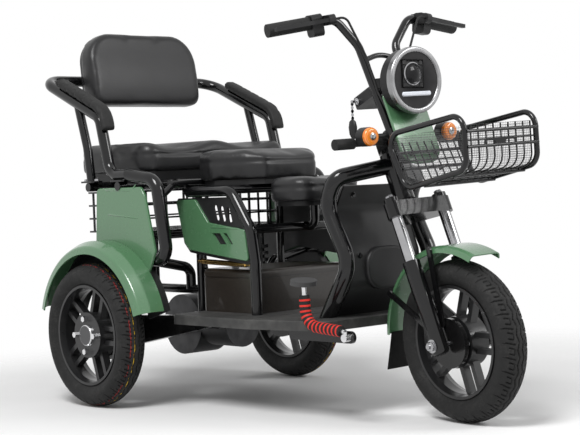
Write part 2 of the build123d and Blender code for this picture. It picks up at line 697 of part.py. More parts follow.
def back_outline():
    """Backrest outline with wide upper corners and tight lower ones."""
    Rectangle(BACK_W, BACK_HIGH - BACK_LOW)
    fillet(vertices().sort_by(Axis.Y)[-2:], 85)
    fillet(vertices().sort_by(Axis.Y)[:2], 28)


with BuildPart() as backrest_cushion:
    with BuildSketch(BACK):
        back_outline()
    extrude(amount=BACK_T / 2, both=True)
    fillet(backrest_cushion.faces().sort_by(Axis.X)[-1].edges(), 14)
keep(backrest_cushion, "backrest_cushion")
with BuildPart() as backrest_shell:
    with BuildSketch(BACK.offset(-BACK_T / 2)):
        back_outline()
        offset(amount=-6)
    extrude(amount=-SHELL_T)
keep(backrest_shell, "backrest_shell")

# Armrest tube: one bent length round the back, with rear posts, foot plates and drooping pads
PLATE = (64.0, 38.0)
ARM_FRONT = (-8.0, 812.0)
ARM_KNEE_X = 34.0
ARM_BEND = 40.0
POST_TOP = (-118.0, 868.0)
POST_KNEE = (-76.0, 730.0)
back_tube = BACK.from_local_coords((0, -24, -BACK_T / 2 - SHELL_T - ARM_D / 2 - CLEAR))
arm_back = back_tube.X - REAR_X
with BuildPart() as armrest_frame:
    run_tube(
        (spot(ARM_FOOT_X, -ARMREST_Y, ARM_FOOT_Z), spot(ARM_KNEE_X, -ARMREST_Y, ARM_FOOT_Z),
         spot(ARM_FRONT[0], -ARMREST_Y, ARM_FRONT[1]), spot(arm_back, -ARMREST_Y, back_tube.Z),
         spot(arm_back, ARMREST_Y, back_tube.Z), spot(ARM_FRONT[0], ARMREST_Y, ARM_FRONT[1]),
         spot(ARM_KNEE_X, ARMREST_Y, ARM_FOOT_Z), spot(ARM_FOOT_X, ARMREST_Y, ARM_FOOT_Z)),
        (45, ARM_BEND, 60, 60, ARM_BEND, 45), ARM_D,
    )
    for end in (-1, 1):
        run_tube(
            (spot(POST_TOP[0], end * ARMREST_Y, POST_TOP[1]), spot(POST_KNEE[0], end * ARMREST_Y, POST_KNEE[1]),
             spot(ARM_CROSS_X[0], end * ARMREST_Y, RAIL_Z + CROSS_TUBE_D / 2 + 2)), (60,), POST_D,
        )
        for x in ARM_CROSS_X:
            with BuildSketch(upright(x, end * ARMREST_Y, RAIL_Z + CROSS_TUBE_D / 2, (1, 0, 0), (0, 0, 1))):
                RectangleRounded(*PLATE, 8)
            extrude(amount=PLATE_T)
    split(bisect_by=Plane.XY.offset(RAIL_Z + CROSS_TUBE_D / 2), keep=Keep.TOP)
    add(rear_hoops.part, mode=Mode.SUBTRACT)
keep(armrest_frame, "armrest_frame")

PAD_W = 46.0
PAD_H = 24.0
PAD_L = 235.0
PAD_DROP = 26.0
with BuildPart() as armrest_pads:
    corner = spot(ARM_FRONT[0], -ARMREST_Y, ARM_FRONT[1])
    rise = (spot(arm_back, -ARMREST_Y, back_tube.Z) - corner).normalized()
    drop = (spot(ARM_KNEE_X, -ARMREST_Y, ARM_FOOT_Z) - corner).normalized()
    over = Vector(0, 1, 0).cross(rise)
    before = drop.cross(Vector(0, 1, 0))
    lift = (over + before) * ((ARM_D / 2 + CLEAR + PAD_H / 2) / (1 + over.dot(before)))
    bend_r = ARM_BEND + ARM_D / 2 + CLEAR + PAD_H / 2
    with BuildLine() as pad_route:
        FilletPolyline(
            corner + lift + rise * PAD_L, corner + lift, corner + lift + drop * (bend_r * 0.5 + PAD_DROP), radius=bend_r,
        )
    with BuildSketch(Plane(pad_route.line @ 0, x_dir=(0, 1, 0), z_dir=pad_route.line % 0)) as pad_end:
        RectangleRounded(PAD_W, PAD_H, 9)
    sweep(pad_end.sketch, path=pad_route.line)
    mirror(about=MIDDLE)
    add(armrest_frame.part, mode=Mode.SUBTRACT)
keep(armrest_pads, "armrest_pads")

with BuildPart() as tail_lamps:
    with BuildSketch(upright(RAIL_BACK - RAIL_D / 2, 0, RAIL_Z, (0, 1, 0), (-1, 0, 0))):
        with GridLocations(280, 0, 2, 1):
            RectangleRounded(90, 28, 6)
    extrude(amount=16)
keep(tail_lamps, "tail_lamps")

# Foot brake: pad on a lever that curves forward to its pivot, with a foam sleeve on the lever
PEDAL_Y = ARM_Y + ARM_W / 2 + BRACKET_T + 15
LEVER_D = 12.0
SLEEVE_D = 27.0
LEVER_LOW = 240.0
LEVER_TOP = 352.0
LEVER_BEND = 45.0
SLEEVE_FROM = 0.26
SLEEVE_END = 14.0
lever_top = spot(FLOOR_FRONT - 46, -PEDAL_Y, LEVER_TOP)
lever_knee = spot(FLOOR_FRONT - 42, -PEDAL_Y, LEVER_LOW + 10)
lever_end = spot(PEDAL_PIVOT_X, -PEDAL_Y, LEVER_LOW)
pivot_z = RAIL_MID - 14
with BuildPart() as brake_pedal:
    run_tube((lever_top, lever_knee, lever_end), (LEVER_BEND,), LEVER_D)
    run_tube((lever_end, spot(PEDAL_PIVOT_X, -PEDAL_Y, pivot_z)), (), LEVER_D - 1)
    run_tube(
        (spot(PEDAL_PIVOT_X, -PEDAL_Y - LEVER_D / 2, pivot_z),
         spot(PEDAL_PIVOT_X, -ARM_Y - ARM_W / 2 - BRACKET_T, pivot_z)), (), 20,
    )
    with BuildSketch(Plane(lever_top + Vector(0, 0, 6), x_dir=(1, 0, 0), z_dir=(0, 0, 1)).rotated((0, 14, 0))):
        Ellipse(24, 40)
    extrude(amount=6, both=True)
keep(brake_pedal, "brake_pedal")
with BuildPart() as brake_sleeve:
    with BuildLine() as sleeve_route:
        sleeve_stop = lever_end + (lever_knee - lever_end).normalized() * SLEEVE_END
        FilletPolyline(
            lever_top + (lever_knee - lever_top) * SLEEVE_FROM, lever_knee, sleeve_stop, radius=LEVER_BEND,
        )
    with BuildSketch(Plane(sleeve_route.line @ 0, z_dir=sleeve_route.line % 0)) as foam:
        Circle(SLEEVE_D / 2)
        Circle(LEVER_D / 2 + CLEAR, mode=Mode.SUBTRACT)
    sweep(foam.sketch, path=sleeve_route.line)
keep(brake_sleeve, "brake_sleeve")

# Fork: legs, stanchions, yoke, stem and top bridge, all along the raked fork plane
LEG_SPOTS = ((0, LEG_Y), (0, -LEG_Y))
STEM_SPOT = (-FORK_OFFSET, 0)
RISER_SPOTS = ((RISER_AHEAD, RISER_FOOT_Y), (RISER_AHEAD, -RISER_FOOT_Y))
BRIDGE_LOW = HEAD_HIGH + BRIDGE_GAP
BRIDGE_HIGH = BRIDGE_LOW + BRIDGE_T
CAP_R = 18.0
with BuildPart() as fork_legs:
    with BuildSketch(FORK.offset(-LEG_FOOT)):
        with Locations(*LEG_SPOTS):
            Circle(LEG_D / 2)
    extrude(amount=LEG_TOP + LEG_FOOT)
    fillet(fork_legs.faces().sort_by(Axis(FORK.origin, FORK.z_dir))[:2].edges(), 10)
    with BuildSketch(FRONT_HUB):
        Circle(AXLE_D / 2 + CLEAR)
    extrude(amount=LEG_Y + LEG_D, both=True, mode=Mode.SUBTRACT)
keep(fork_legs, "fork_legs")
with BuildPart() as fork_stanchions:
    with BuildSketch(FORK.offset(LEG_TOP)):
        with Locations(*LEG_SPOTS):
            Circle(STANCHION_D / 2)
    extrude(amount=YOKE_LOW - LEG_TOP)
keep(fork_stanchions, "fork_stanchions")
with BuildPart() as fork_yoke:
    with BuildSketch(FORK.offset(YOKE_LOW)):
        with Locations(*LEG_SPOTS):
            Circle(LEG_D / 2)
        with Locations(STEM_SPOT):
            Circle(HEAD_D / 2)
        make_hull()
    extrude(amount=YOKE_HIGH - YOKE_LOW)
    with BuildSketch(FORK.offset(YOKE_HIGH)):
        with Locations(*LEG_SPOTS):
            Circle(CAP_R)
    extrude(amount=12)
keep(fork_yoke, "fork_yoke")
with BuildPart() as steering_stem:
    with BuildSketch(FORK.offset(YOKE_HIGH)):
        with Locations(STEM_SPOT):
            Circle(HEAD_BORE_D / 2 - CLEAR)
    extrude(amount=BRIDGE_LOW - YOKE_HIGH)
keep(steering_stem, "steering_stem")
with BuildPart() as top_bridge:
    with BuildSketch(FORK.offset(BRIDGE_LOW)):
        with Locations(*RISER_SPOTS):
            Circle(20)
        with Locations(STEM_SPOT):
            Circle(HEAD_D / 2)
        make_hull()
    extrude(amount=BRIDGE_T)
keep(top_bridge, "top_bridge")

GRAB_AHEAD = 7.0
GRAB_HALF = 205.0
GRAB_D = 18.0
GRAB_GRIP_D = 28.0
GRAB_GRIP_L = 58.0
with BuildPart() as grab_bar:
    grab_up = (BRIDGE_LOW + BRIDGE_HIGH) / 2
    run_tube((fork_point(GRAB_AHEAD, -GRAB_HALF, grab_up), fork_point(GRAB_AHEAD, 0, grab_up)), (), GRAB_D)
    run_tube(
        (fork_point(GRAB_AHEAD, -GRAB_HALF, grab_up), fork_point(GRAB_AHEAD, GRAB_GRIP_L - GRAB_HALF, grab_up)),
        (), GRAB_GRIP_D,
    )
    mirror(about=STEER_MIDDLE)
    add(top_bridge.part, mode=Mode.SUBTRACT)
keep(grab_bar, "grab_bar")

# Handlebar with its brace, grips, levers and switch blocks
with BuildPart() as handlebar:
    for end in (-1, 1):
        run_tube(
            (fork_point(RISER_AHEAD, end * RISER_FOOT_Y, BRIDGE_HIGH - 8),
             fork_point(RISER_AHEAD, end * RISER_TOP_Y, RISER_TOP),
             bar(BAR_BEND[0], end * BAR_BEND[1], BAR_BEND[2]), bar(BAR_END[0], end * BAR_END[1], BAR_END[2])),
            (40, 45), BAR_D,
        )
    brace_up = RISER_TOP - 42
    run_tube(
        (fork_point(RISER_AHEAD, -RISER_TOP_Y + 2, brace_up), fork_point(RISER_AHEAD, 0, brace_up + 18),
         fork_point(RISER_AHEAD, RISER_TOP_Y - 2, brace_up)), (90,), BRACE_D,
    )
    add(top_bridge.part, mode=Mode.SUBTRACT)
keep(handlebar, "handlebar")

bend = bar(BAR_BEND[0], -BAR_BEND[1], BAR_BEND[2])
tip = bar(BAR_END[0], -BAR_END[1], BAR_END[2])
OUT = (tip - bend).normalized()
GRIP = Plane(origin=tip, x_dir=turn((1, 0, 0)), z_dir=OUT)
SLEEVE_BORE = BAR_D / 2 + CLEAR / 2
SWITCH_W = 30.0
PERCH_AT = GRIP_L + SWITCH_W + 6
PERCH_W = 18.0
PERCH_X = 18.0
PERCH_L = 64.0
PERCH_H = 26.0
LEVER_PIVOT = 44.0
LEVER_L = 150.0
MIRROR_AHEAD = 30.0
MIRROR_HOLE_D = 8.0
MIRROR_HOLE_L = 14.0
with BuildPart() as grips:
    with BuildSketch(GRIP.offset(-GRIP_L)):
        Circle(GRIP_D / 2)
        Circle(SLEEVE_BORE, mode=Mode.SUBTRACT)
    extrude(amount=GRIP_L)
    with BuildSketch(GRIP.offset(CLEAR / 2)):
        Circle(GRIP_D / 2)
    extrude(amount=4)
    mirror(about=STEER_MIDDLE)
keep(grips, "grips")
with BuildPart() as hand_controls:
    with BuildSketch(GRIP.offset(-GRIP_L - SWITCH_W - 2)):
        with Locations((0, -8)):
            RectangleRounded(40, 56, 12)
        Circle(SLEEVE_BORE, mode=Mode.SUBTRACT)
    extrude(amount=SWITCH_W)
    with BuildSketch(GRIP.offset(-PERCH_AT - PERCH_W)):
        with Locations((PERCH_X, 0)):
            RectangleRounded(PERCH_L, PERCH_H, 10)
        Circle(SLEEVE_BORE, mode=Mode.SUBTRACT)
    extrude(amount=PERCH_W)
    pivot = GRIP.from_local_coords((LEVER_PIVOT, 0, -PERCH_AT - 2))
    with BuildSketch(Plane(origin=pivot, x_dir=OUT, z_dir=GRIP.y_dir)):
        with BuildLine():
            FilletPolyline((-10, 0), (40, -8), (LEVER_L, -2), radius=60)
        trace(line_width=12)
    extrude(amount=5, both=True)
    mirror_seat = GRIP.from_local_coords((MIRROR_AHEAD, PERCH_H / 2, -PERCH_AT - PERCH_W / 2))
    with BuildSketch(Plane(origin=mirror_seat, z_dir=GRIP.y_dir)):
        Circle(MIRROR_HOLE_D / 2)
    extrude(amount=-MIRROR_HOLE_L, mode=Mode.SUBTRACT)
    mirror(about=STEER_MIDDLE)
    add(handlebar.part, mode=Mode.SUBTRACT)
keep(hand_controls, "hand_controls")

# Headlight, dash pod, nacelle and front panel
RING_W = 14.0
RING_BACK = 10.0
RING_DEEP = 18.0
LENS_DEEP = 14.0
EAR_Y = 52.0
EAR_L = 62.0
EAR_BACK = 96.0
lamp_face = steered(LAMP_X, 0, LAMP_UP, (0, 1, 0), (1, 0, 0))
beam = Axis(lamp_face.origin, lamp_face.z_dir)
with BuildPart() as headlight_bowl:
    wide = LAMP_R - 4
    with BuildSketch(steered(LAMP_X, 0, LAMP_UP, (1, 0, 0), (0, -1, 0))):
        with BuildLine():
            Polyline((-RING_BACK, 0), (-RING_BACK, wide), (-0.45 * BOWL_L, wide))
            ThreePointArc((-0.45 * BOWL_L, wide), (-0.8 * BOWL_L, 0.65 * wide), (-BOWL_L, 0.27 * wide))
            Polyline((-BOWL_L, 0.27 * wide), (-BOWL_L, 0), (-RING_BACK, 0))
        make_face()
    revolve(axis=beam)
    for end in (-1, 1):
        with BuildSketch(steered(LAMP_X - EAR_BACK, end * EAR_Y, LAMP_UP, (0, 1, 0), (1, 0, 0))):
            Rectangle(8, 24)
        extrude(amount=EAR_L)
    add(handlebar.part, mode=Mode.SUBTRACT)
keep(headlight_bowl, "headlight_bowl")
with BuildPart() as headlight_ring:
    with BuildSketch(lamp_face.offset(-RING_BACK)):
        Circle(LAMP_R)
        Circle(LAMP_R - RING_W, mode=Mode.SUBTRACT)
    extrude(amount=RING_DEEP)
    fillet(headlight_ring.faces().sort_by(beam)[-1].edges(), 5)
keep(headlight_ring, "headlight_ring")
with BuildPart() as headlight_lens:
    with BuildSketch(lamp_face.offset(-RING_BACK)):
        Circle(LAMP_R - RING_W - CLEAR)
    extrude(amount=LENS_DEEP)
keep(headlight_lens, "headlight_lens")

DASH_LOW = 655.0
DASH_H = 30.0
with BuildPart() as dash_pod:
    with BuildSketch(FORK.offset(DASH_LOW)):
        with Locations((RISER_AHEAD - 51, 0)):
            RectangleRounded(92, 2 * RISER_TOP_Y - 10, 14)
    extrude(amount=DASH_H)
    fillet(dash_pod.faces().sort_by(Axis(FORK.origin, FORK.z_dir))[-1].edges(), 6)
    add(handlebar.part, mode=Mode.SUBTRACT)
    add(headlight_bowl.part, mode=Mode.SUBTRACT)
keep(dash_pod, "dash_pod")

FRONT_PANEL_T = 6.0
NACELLE_DEEP = 46.0
panel_mid = (PANEL_LOW + PANEL_HIGH) / 2
panel_back = Plane(fork_point(PANEL_AHEAD, 0, panel_mid), x_dir=FORK.y_dir, z_dir=FORK.x_dir)
with BuildPart() as nacelle:
    with BuildSketch(panel_back.offset(-CLEAR)):
        RectangleRounded(2 * RISER_FOOT_Y - BAR_D - 6, PANEL_HIGH - PANEL_LOW - 40, 16)
    extrude(amount=-NACELLE_DEEP)
    add(top_bridge.part, mode=Mode.SUBTRACT)
    add(headlight_bowl.part, mode=Mode.SUBTRACT)
keep(nacelle, "nacelle")
with BuildPart() as front_panel:
    with BuildSketch(panel_back):
        Rectangle(PANEL_W, PANEL_HIGH - PANEL_LOW)
        fillet(vertices().sort_by(Axis.Y)[:2], 46)
        fillet(vertices().sort_by(Axis.Y)[-2:], 12)
    extrude(amount=FRONT_PANEL_T)
    fillet(front_panel.faces().sort_by(Axis(FORK.origin, FORK.x_dir))[-1].edges(), 3)
    add(headlight_bowl.part, mode=Mode.SUBTRACT)
    add(handlebar.part, mode=Mode.SUBTRACT)
keep(front_panel, "front_panel")

CABLE_D = 6.0
with BuildPart() as control_cables:
    run_tube(
        (GRIP.from_local_coords((LEVER_PIVOT - 4, 0, -PERCH_AT - PERCH_W / 2)),
         GRIP.from_local_coords((LEVER_PIVOT - 2, 0, -PERCH_AT - PERCH_W - 32)),
         fork_point(RISER_AHEAD + 24, -RISER_TOP_Y - 7, RISER_TOP - 45),
         fork_point(RISER_AHEAD + 18, -RISER_TOP_Y - 3, PANEL_HIGH + 10),
         fork_point(PANEL_AHEAD + 3, -RISER_FOOT_Y - 8, PANEL_HIGH - 80)),
        (22, 40, 14), CABLE_D,
    )
    mirror(about=STEER_MIDDLE)
    for neighbour in (hand_controls, front_panel, handlebar):
        add(neighbour.part, mode=Mode.SUBTRACT)
keep(control_cables, "control_cables")

SIGNAL_X = -156.0
SIGNAL_Y = 130.0
SIGNAL_UP = 517.0
SIGNAL_R = 24.0
SIGNAL_BACK = 20.0
SIGNAL_DEEP = 28.0
signal_face = steered(SIGNAL_X + SIGNAL_DEEP - SIGNAL_BACK, -SIGNAL_Y, SIGNAL_UP, (0, 1, 0), (1, 0, 0))
with BuildPart() as signal_bodies:
    run_tube((bar(SIGNAL_X, -RISER_FOOT_Y, SIGNAL_UP), bar(SIGNAL_X, -SIGNAL_Y, SIGNAL_UP)), (), 12)
    with BuildSketch(signal_face):
        Circle(SIGNAL_R)
    extrude(amount=-SIGNAL_DEEP)
    mirror(about=STEER_MIDDLE)
    add(top_bridge.part, mode=Mode.SUBTRACT)
    add(handlebar.part, mode=Mode.SUBTRACT)
keep(signal_bodies, "signal_bodies")
with BuildPart() as signal_lenses:
    with BuildSketch(signal_face):
        Circle(SIGNAL_R - 1)
    extrude(amount=12)
    fillet(signal_lenses.faces().sort_by(beam)[-1].edges(), 8)
    mirror(about=STEER_MIDDLE)
keep(signal_lenses, "signal_lenses")

# Front basket: a tube loop at each end, cross tubes outside them and a net of bent wires
BASKET = ((-106, 516), (180, 555), (180, 426), (-39, 384))
REAR_TOP, FRONT_TOP, FRONT_LOW, REAR_LOW = BASKET
BASKET_BEND = 36.0
CROSS_D = 8.0
CROSS_OUT = (CROSS_D + BASKET_WIRE_D) / 2 + CLEAR
CROSS_RUNS = (
    (REAR_TOP, REAR_LOW, (0.32, 0.62)), (REAR_LOW, FRONT_LOW, (0.3, 0.78)), (FRONT_LOW, FRONT_TOP, (0.4, 0.68)),
)
WIRES = 9
WIRE_RUNS = (
    (REAR_TOP, REAR_LOW, (0.5,)), (REAR_LOW, FRONT_LOW, (0.42, 0.6)), (FRONT_LOW, FRONT_TOP, (0.52,)),
)


def along(start, stop, share, out):
    """Point on a side of the basket's outline, moved outward by a given distance."""
    run = Vector(stop[0] - start[0], 0, stop[1] - start[1])
    spot_on = Vector(start[0], 0, start[1]) + run * share
    return spot_on + Vector(0, 1, 0).cross(run.normalized()) * out


with BuildPart() as basket_frame:
    for end in (-1, 1):
        with BuildLine() as loop:
            FilletPolyline(*(bar(x, end * BASKET_Y, z) for x, z in BASKET), radius=BASKET_BEND, close=True)
        with BuildSketch(Plane(origin=loop.line @ 0, z_dir=loop.line % 0)) as ring:
            Circle(BASKET_D / 2)
        sweep(ring.sketch, path=loop.line)
    for start, stop, shares in CROSS_RUNS:
        for share in shares:
            at = along(start, stop, share, CROSS_OUT)
            run_tube((bar(at.X, -BASKET_Y, at.Z), bar(at.X, BASKET_Y, at.Z)), (), CROSS_D)
    for share in CROSS_RUNS[0][2]:
        at = along(REAR_TOP, REAR_LOW, share, CROSS_OUT)
        for y in (-40, 40):
            root = bar(at.X, y, at.Z)
            reach = FORK.to_local_coords(root).X - PANEL_AHEAD - FRONT_PANEL_T
            run_tube((root, root - FORK.x_dir * reach), (), CROSS_D)
keep(basket_frame, "basket_frame")

with BuildPart() as basket_wires:
    net_y = BASKET_Y - BASKET_D / 2 - CLEAR
    for wire in range(WIRES):
        y = net_y * 0.9 * (2 * wire / (WIRES - 1) - 1)
        high = along(FRONT_LOW, FRONT_TOP, 0.8, 0)
        run_tube(
            (bar(REAR_TOP[0] + 10, y, REAR_TOP[1] - 20), bar(REAR_LOW[0], y, REAR_LOW[1]),
             bar(FRONT_LOW[0], y, FRONT_LOW[1]), bar(high.X, y, high.Z)),
            (BASKET_BEND, BASKET_BEND), BASKET_WIRE_D,
        )
    for start, stop, shares in WIRE_RUNS:
        for share in shares:
            at = along(start, stop, share, 0)
            run_tube((bar(at.X, -net_y, at.Z), bar(at.X, net_y, at.Z)), (), BASKET_WIRE_D)
keep(basket_wires, "basket_wires")

# Front wheel's fender with its stays, axle and brake plate
FRONT_HALF = 52.0
FRONT_GAP = 38.0
FRONT_LIP = 16.0
FRONT_START = 65.0
FRONT_SWEEP = 113.0
STAY_HALF_T = 3.3
STAY_W = 14.0
front_lean = radians(FRONT_START)
with BuildPart() as front_fender:
    half = FRONT_HALF - FENDER_T / 2
    crown = TYRE_R + FRONT_GAP - FENDER_T / 2
    with BuildSketch(steered(0, 0, 0, (0, -1, 0), (-sin(front_lean), 0, cos(front_lean)))):
        with BuildLine():
            FilletPolyline(
                (-half, crown - FRONT_LIP), (-half + 6, crown), (half - 6, crown), (half, crown - FRONT_LIP), radius=12,
            )
        trace(line_width=FENDER_T)
    revolve(axis=Axis(FRONT_HUB.origin, FRONT_HUB.z_dir), revolution_arc=FRONT_SWEEP)
keep(front_fender, "front_fender")
with BuildPart() as fender_stays:
    with BuildSketch(steered(0, -FRONT_HALF - STAY_HALF_T, 0, (1, 0, 0), (0, -1, 0))):
        for angle in (100, 150):
            with Locations(Rotation(0, 0, angle)):
                with Locations((TYRE_R - 62, 0)):
                    SlotOverall(200, STAY_W)
    extrude(amount=STAY_HALF_T, both=True)
    mirror(about=STEER_MIDDLE)
    add(fork_stanchions.part, mode=Mode.SUBTRACT)
    add(fork_legs.part, mode=Mode.SUBTRACT)
keep(fender_stays, "fender_stays")
with BuildPart() as front_axle:
    with BuildSketch(FRONT_HUB):
        Circle(AXLE_END_D / 2)
    extrude(amount=LEG_Y + LEG_D / 2 + AXLE_END_L, both=True)
    with BuildSketch(FRONT_HUB):
        Circle(AXLE_D / 2)
    extrude(amount=LEG_Y + LEG_D / 2, both=True)
keep(front_axle, "front_axle")
with BuildPart() as front_brake:
    with BuildSketch(steered(0, -RIM_EDGE - RUN_GAP, 0, (1, 0, 0), (0, -1, 0))):
        Circle(HUB_R - 2)
        Circle(AXLE_D / 2 + CLEAR, mode=Mode.SUBTRACT)
    extrude(amount=12)
keep(front_brake, "front_brake_plate")

for piece in pieces:
    export_step(piece, f"parts/{piece.label}.step")
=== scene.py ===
import json
from math import cos, pi, radians, sin, tan

import bmesh
import bpy
from mathutils import Matrix, Vector


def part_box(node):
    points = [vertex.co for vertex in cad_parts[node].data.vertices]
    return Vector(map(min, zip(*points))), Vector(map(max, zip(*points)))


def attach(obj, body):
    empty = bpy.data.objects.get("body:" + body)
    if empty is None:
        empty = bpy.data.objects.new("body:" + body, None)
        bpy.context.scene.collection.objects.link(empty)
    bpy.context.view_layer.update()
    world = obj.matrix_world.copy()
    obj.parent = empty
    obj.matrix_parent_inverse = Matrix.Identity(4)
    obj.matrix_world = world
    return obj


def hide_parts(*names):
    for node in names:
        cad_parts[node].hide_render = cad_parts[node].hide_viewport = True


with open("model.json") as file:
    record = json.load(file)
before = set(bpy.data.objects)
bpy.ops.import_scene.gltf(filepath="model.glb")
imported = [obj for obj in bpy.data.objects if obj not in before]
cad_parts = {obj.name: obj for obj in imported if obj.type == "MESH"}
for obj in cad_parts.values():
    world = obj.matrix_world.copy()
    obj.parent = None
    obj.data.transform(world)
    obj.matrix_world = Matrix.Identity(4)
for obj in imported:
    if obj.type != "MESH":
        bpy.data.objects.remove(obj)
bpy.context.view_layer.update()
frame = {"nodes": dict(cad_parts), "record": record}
nodes = frame["nodes"]
scene = bpy.context.scene

# Places from the frame: rear axle, front hub and the steering as it stands at rest
JOINTS = {joint["name"]: joint for joint in frame["record"]["behaviour"]["joints"]}
REST_STEER = radians(-6)
REAR_HUBS = {side: Vector(JOINTS[f"rear_wheel_{side}_spin"]["pos_m"]) for side in ("right", "left")}
REAR_X = REAR_HUBS["right"].x
HUB = Vector(JOINTS["front_wheel_spin"]["pos_m"])
HUB_AXIS = Vector(JOINTS["front_wheel_spin"]["axis"])
STEM_UP = Vector(JOINTS["steering"]["axis"])
STEER = Matrix.Rotation(REST_STEER, 3, STEM_UP)
FORK_AHEAD = STEER @ Vector((STEM_UP.z, 0, -STEM_UP.x))
LEFT = Vector((0, 1, 0))
UP = Vector((0, 0, 1))


def spot(x, y, z):
    """Point of the fixed frame, forward from the rear axle and up from the ground."""
    return Vector((REAR_X + x, y, z))


def bar(x, y, z):
    """Point of the steered assembly from the front axle, given as if it pointed straight ahead."""
    return HUB + STEER @ Vector((x, y, z))


def fork_point(ahead, side, height):
    """Point of the steered assembly along the raked fork legs."""
    return HUB + FORK_AHEAD * ahead + HUB_AXIS * side + STEM_UP * height


# Shader maths
def add_node(tree, kind, settings=None, sockets=None):
    """Add a node: its settings first, then a value or a link for each of its sockets."""
    node = tree.nodes.new(kind)
    for name, value in (settings or {}).items():
        setattr(node, name, value)
    for key, value in (sockets or {}).items():
        if isinstance(value, Sock):
            tree.links.new(value.socket, node.inputs[key])
        else:
            node.inputs[key].default_value = value
    return node


class Sock:
    """A node socket that can be added, multiplied and shaped like a number."""

    def __init__(self, tree, socket):
        self.tree = tree
        self.socket = socket

    def in_order(self, operation, *values):
        """Math node on values that may start with a plain number."""
        node = add_node(self.tree, "ShaderNodeMath", {"operation": operation}, dict(enumerate(values)))
        return Sock(self.tree, node.outputs[0])

    def math(self, operation, *others):
        return self.in_order(operation, self, *others)

    def __add__(self, other):
        return self.math("ADD", other)

    def __sub__(self, other):
        return self.math("SUBTRACT", other)

    def __mul__(self, other):
        return self.math("MULTIPLY", other)

    def __radd__(self, other):
        return self.in_order("ADD", other, self)

    def __rsub__(self, other):
        return self.in_order("SUBTRACT", other, self)

    def __rmul__(self, other):
        return self.in_order("MULTIPLY", other, self)

    def step(self, low, high):
        """Smooth rise from 0 at low to 1 at high."""
        ends = {"Value": self, "From Min": low, "From Max": high}
        node = add_node(self.tree, "ShaderNodeMapRange", {"interpolation_type": "SMOOTHSTEP"}, ends)
        return Sock(self.tree, node.outputs["Result"])

    def between(self, low, high):
        """Spread 0 to 1 over low to high."""
        return self * (high - low) + low


class Finish:
    """A material in the making: its Principled shader and textures in object coordinates."""

    def __init__(self, name, metal=0.0, coat=0.0, coat_rough=0.05, shine=0.5):
        self.material = bpy.data.materials.new(name)
        self.material.use_nodes = True
        self.tree = self.material.node_tree
        self.shader = self.tree.nodes["Principled BSDF"]
        self.shader.inputs["Metallic"].default_value = metal
        self.shader.inputs["Coat Weight"].default_value = coat
        self.shader.inputs["Coat Roughness"].default_value = coat_rough
        self.shader.inputs["Specular IOR Level"].default_value = shine
        self.place = self.add("ShaderNodeTexCoord", "Object")

    def add(self, kind, output, settings=None, sockets=None):
        """Add a node and give one of its outputs."""
        return Sock(self.tree, add_node(self.tree, kind, settings, sockets).outputs[output])

    def feed(self, name, value):
        """Link a value to a socket of the shader."""
        self.tree.links.new(value.socket, self.shader.inputs[name])

    def noise(self, scale, detail=3.0, stretch=(1, 1, 1)):
        place = self.add("ShaderNodeMapping", "Vector", None, {"Vector": self.place, "Scale": stretch})
        sizes = {"Vector": place, "Scale": scale, "Detail": detail}
        return self.add("ShaderNodeTexNoise", "Fac", None, sizes)

    def cells(self, scale, feature="F1"):
        sizes = {"Vector": self.place, "Scale": scale}
        return self.add("ShaderNodeTexVoronoi", "Distance", {"feature": feature}, sizes)

    def axis(self, index):
        return self.add("ShaderNodeSeparateXYZ", index, None, {0: self.place})

    def low_down(self, top, fade):
        """0 above a height, rising to 1 over a fade below it."""
        return (top - self.axis(2)).step(0, fade)

    def distance(self, centre):
        ends = {0: self.place, 1: centre}
        return self.add("ShaderNodeVectorMath", "Value", {"operation": "DISTANCE"}, ends)

    def mix(self, first, second, share):
        sides = {"Factor": share, "A": first, "B": second}
        return self.add("ShaderNodeMix", "Result", {"data_type": "RGBA"}, sides)

    def color(self, low, high, share):
        self.feed("Base Color", self.mix((*low, 1), (*high, 1), share))

    def over(self, tint, share):
        """Lay a second colour over the present one where share is 1."""
        base = Sock(self.tree, self.shader.inputs["Base Color"].links[0].from_socket)
        self.feed("Base Color", self.mix(base, (*tint, 1), share))

    def rough(self, value):
        self.feed("Roughness", value)

    def bump(self, height, strength, depth):
        sizes = {"Strength": strength, "Distance": depth, "Height": height}
        self.feed("Normal", self.add("ShaderNodeBump", "Normal", None, sizes))


# Materials: lengths in metres, ribs and rings in radians per metre
TREAD_LINES = (((0.55, 0.34, 0.01), 0.379), ((0.3, 0.02, 0.02), 0.3895))
TREAD_LINE_HALF = 0.0011
PEDAL_PAD_Z = (0.344, 0.347)
HUB_CAP = 0.028
HUB_CAP_EDGE = 0.002
LAMP_FACE = bar(-0.114, 0, 0.65)
LAMP_AXIS = STEER @ Vector((1, 0, 0))
# Distances from the glass centre over which the painted reflection lightens the glass
LAMP_REFLECTION_SPAN = (0.02, 0.07)
SIGNALS = [bar(-0.136, side * 0.13, 0.517) for side in (-1, 1)]
FLOOR_RIBS, TAIL_RIBS, SIGNAL_RINGS = 420, 1400, 1500
FLOOR_FADE = (2.1, 0.9)
MESH_WIRE = 0.15


def black_paint():
    """Gloss black powder coat with a faint orange peel and dust low down."""
    f = Finish("black_tube", coat=0.25, shine=0.3)
    dust = f.noise(35) * f.low_down(top=0.45, fade=0.4)
    f.color((0.004, 0.004, 0.0045), (0.022, 0.021, 0.02), dust * 0.6)
    f.rough(f.noise(60).between(0.1, 0.22))
    f.bump(f.noise(420), strength=0.06, depth=0.0004)
    return f.material


def black_plastic():
    """Moulded black plastic with a leather-like grain and scuffed patches."""
    f = Finish("black_plastic", shine=0.3)
    f.color((0.006, 0.006, 0.0065), (0.017, 0.017, 0.0175), f.noise(14))
    f.rough(f.noise(22).between(0.34, 0.56))
    f.bump(f.cells(900) * f.noise(700), strength=0.25, depth=0.0005)
    return f.material


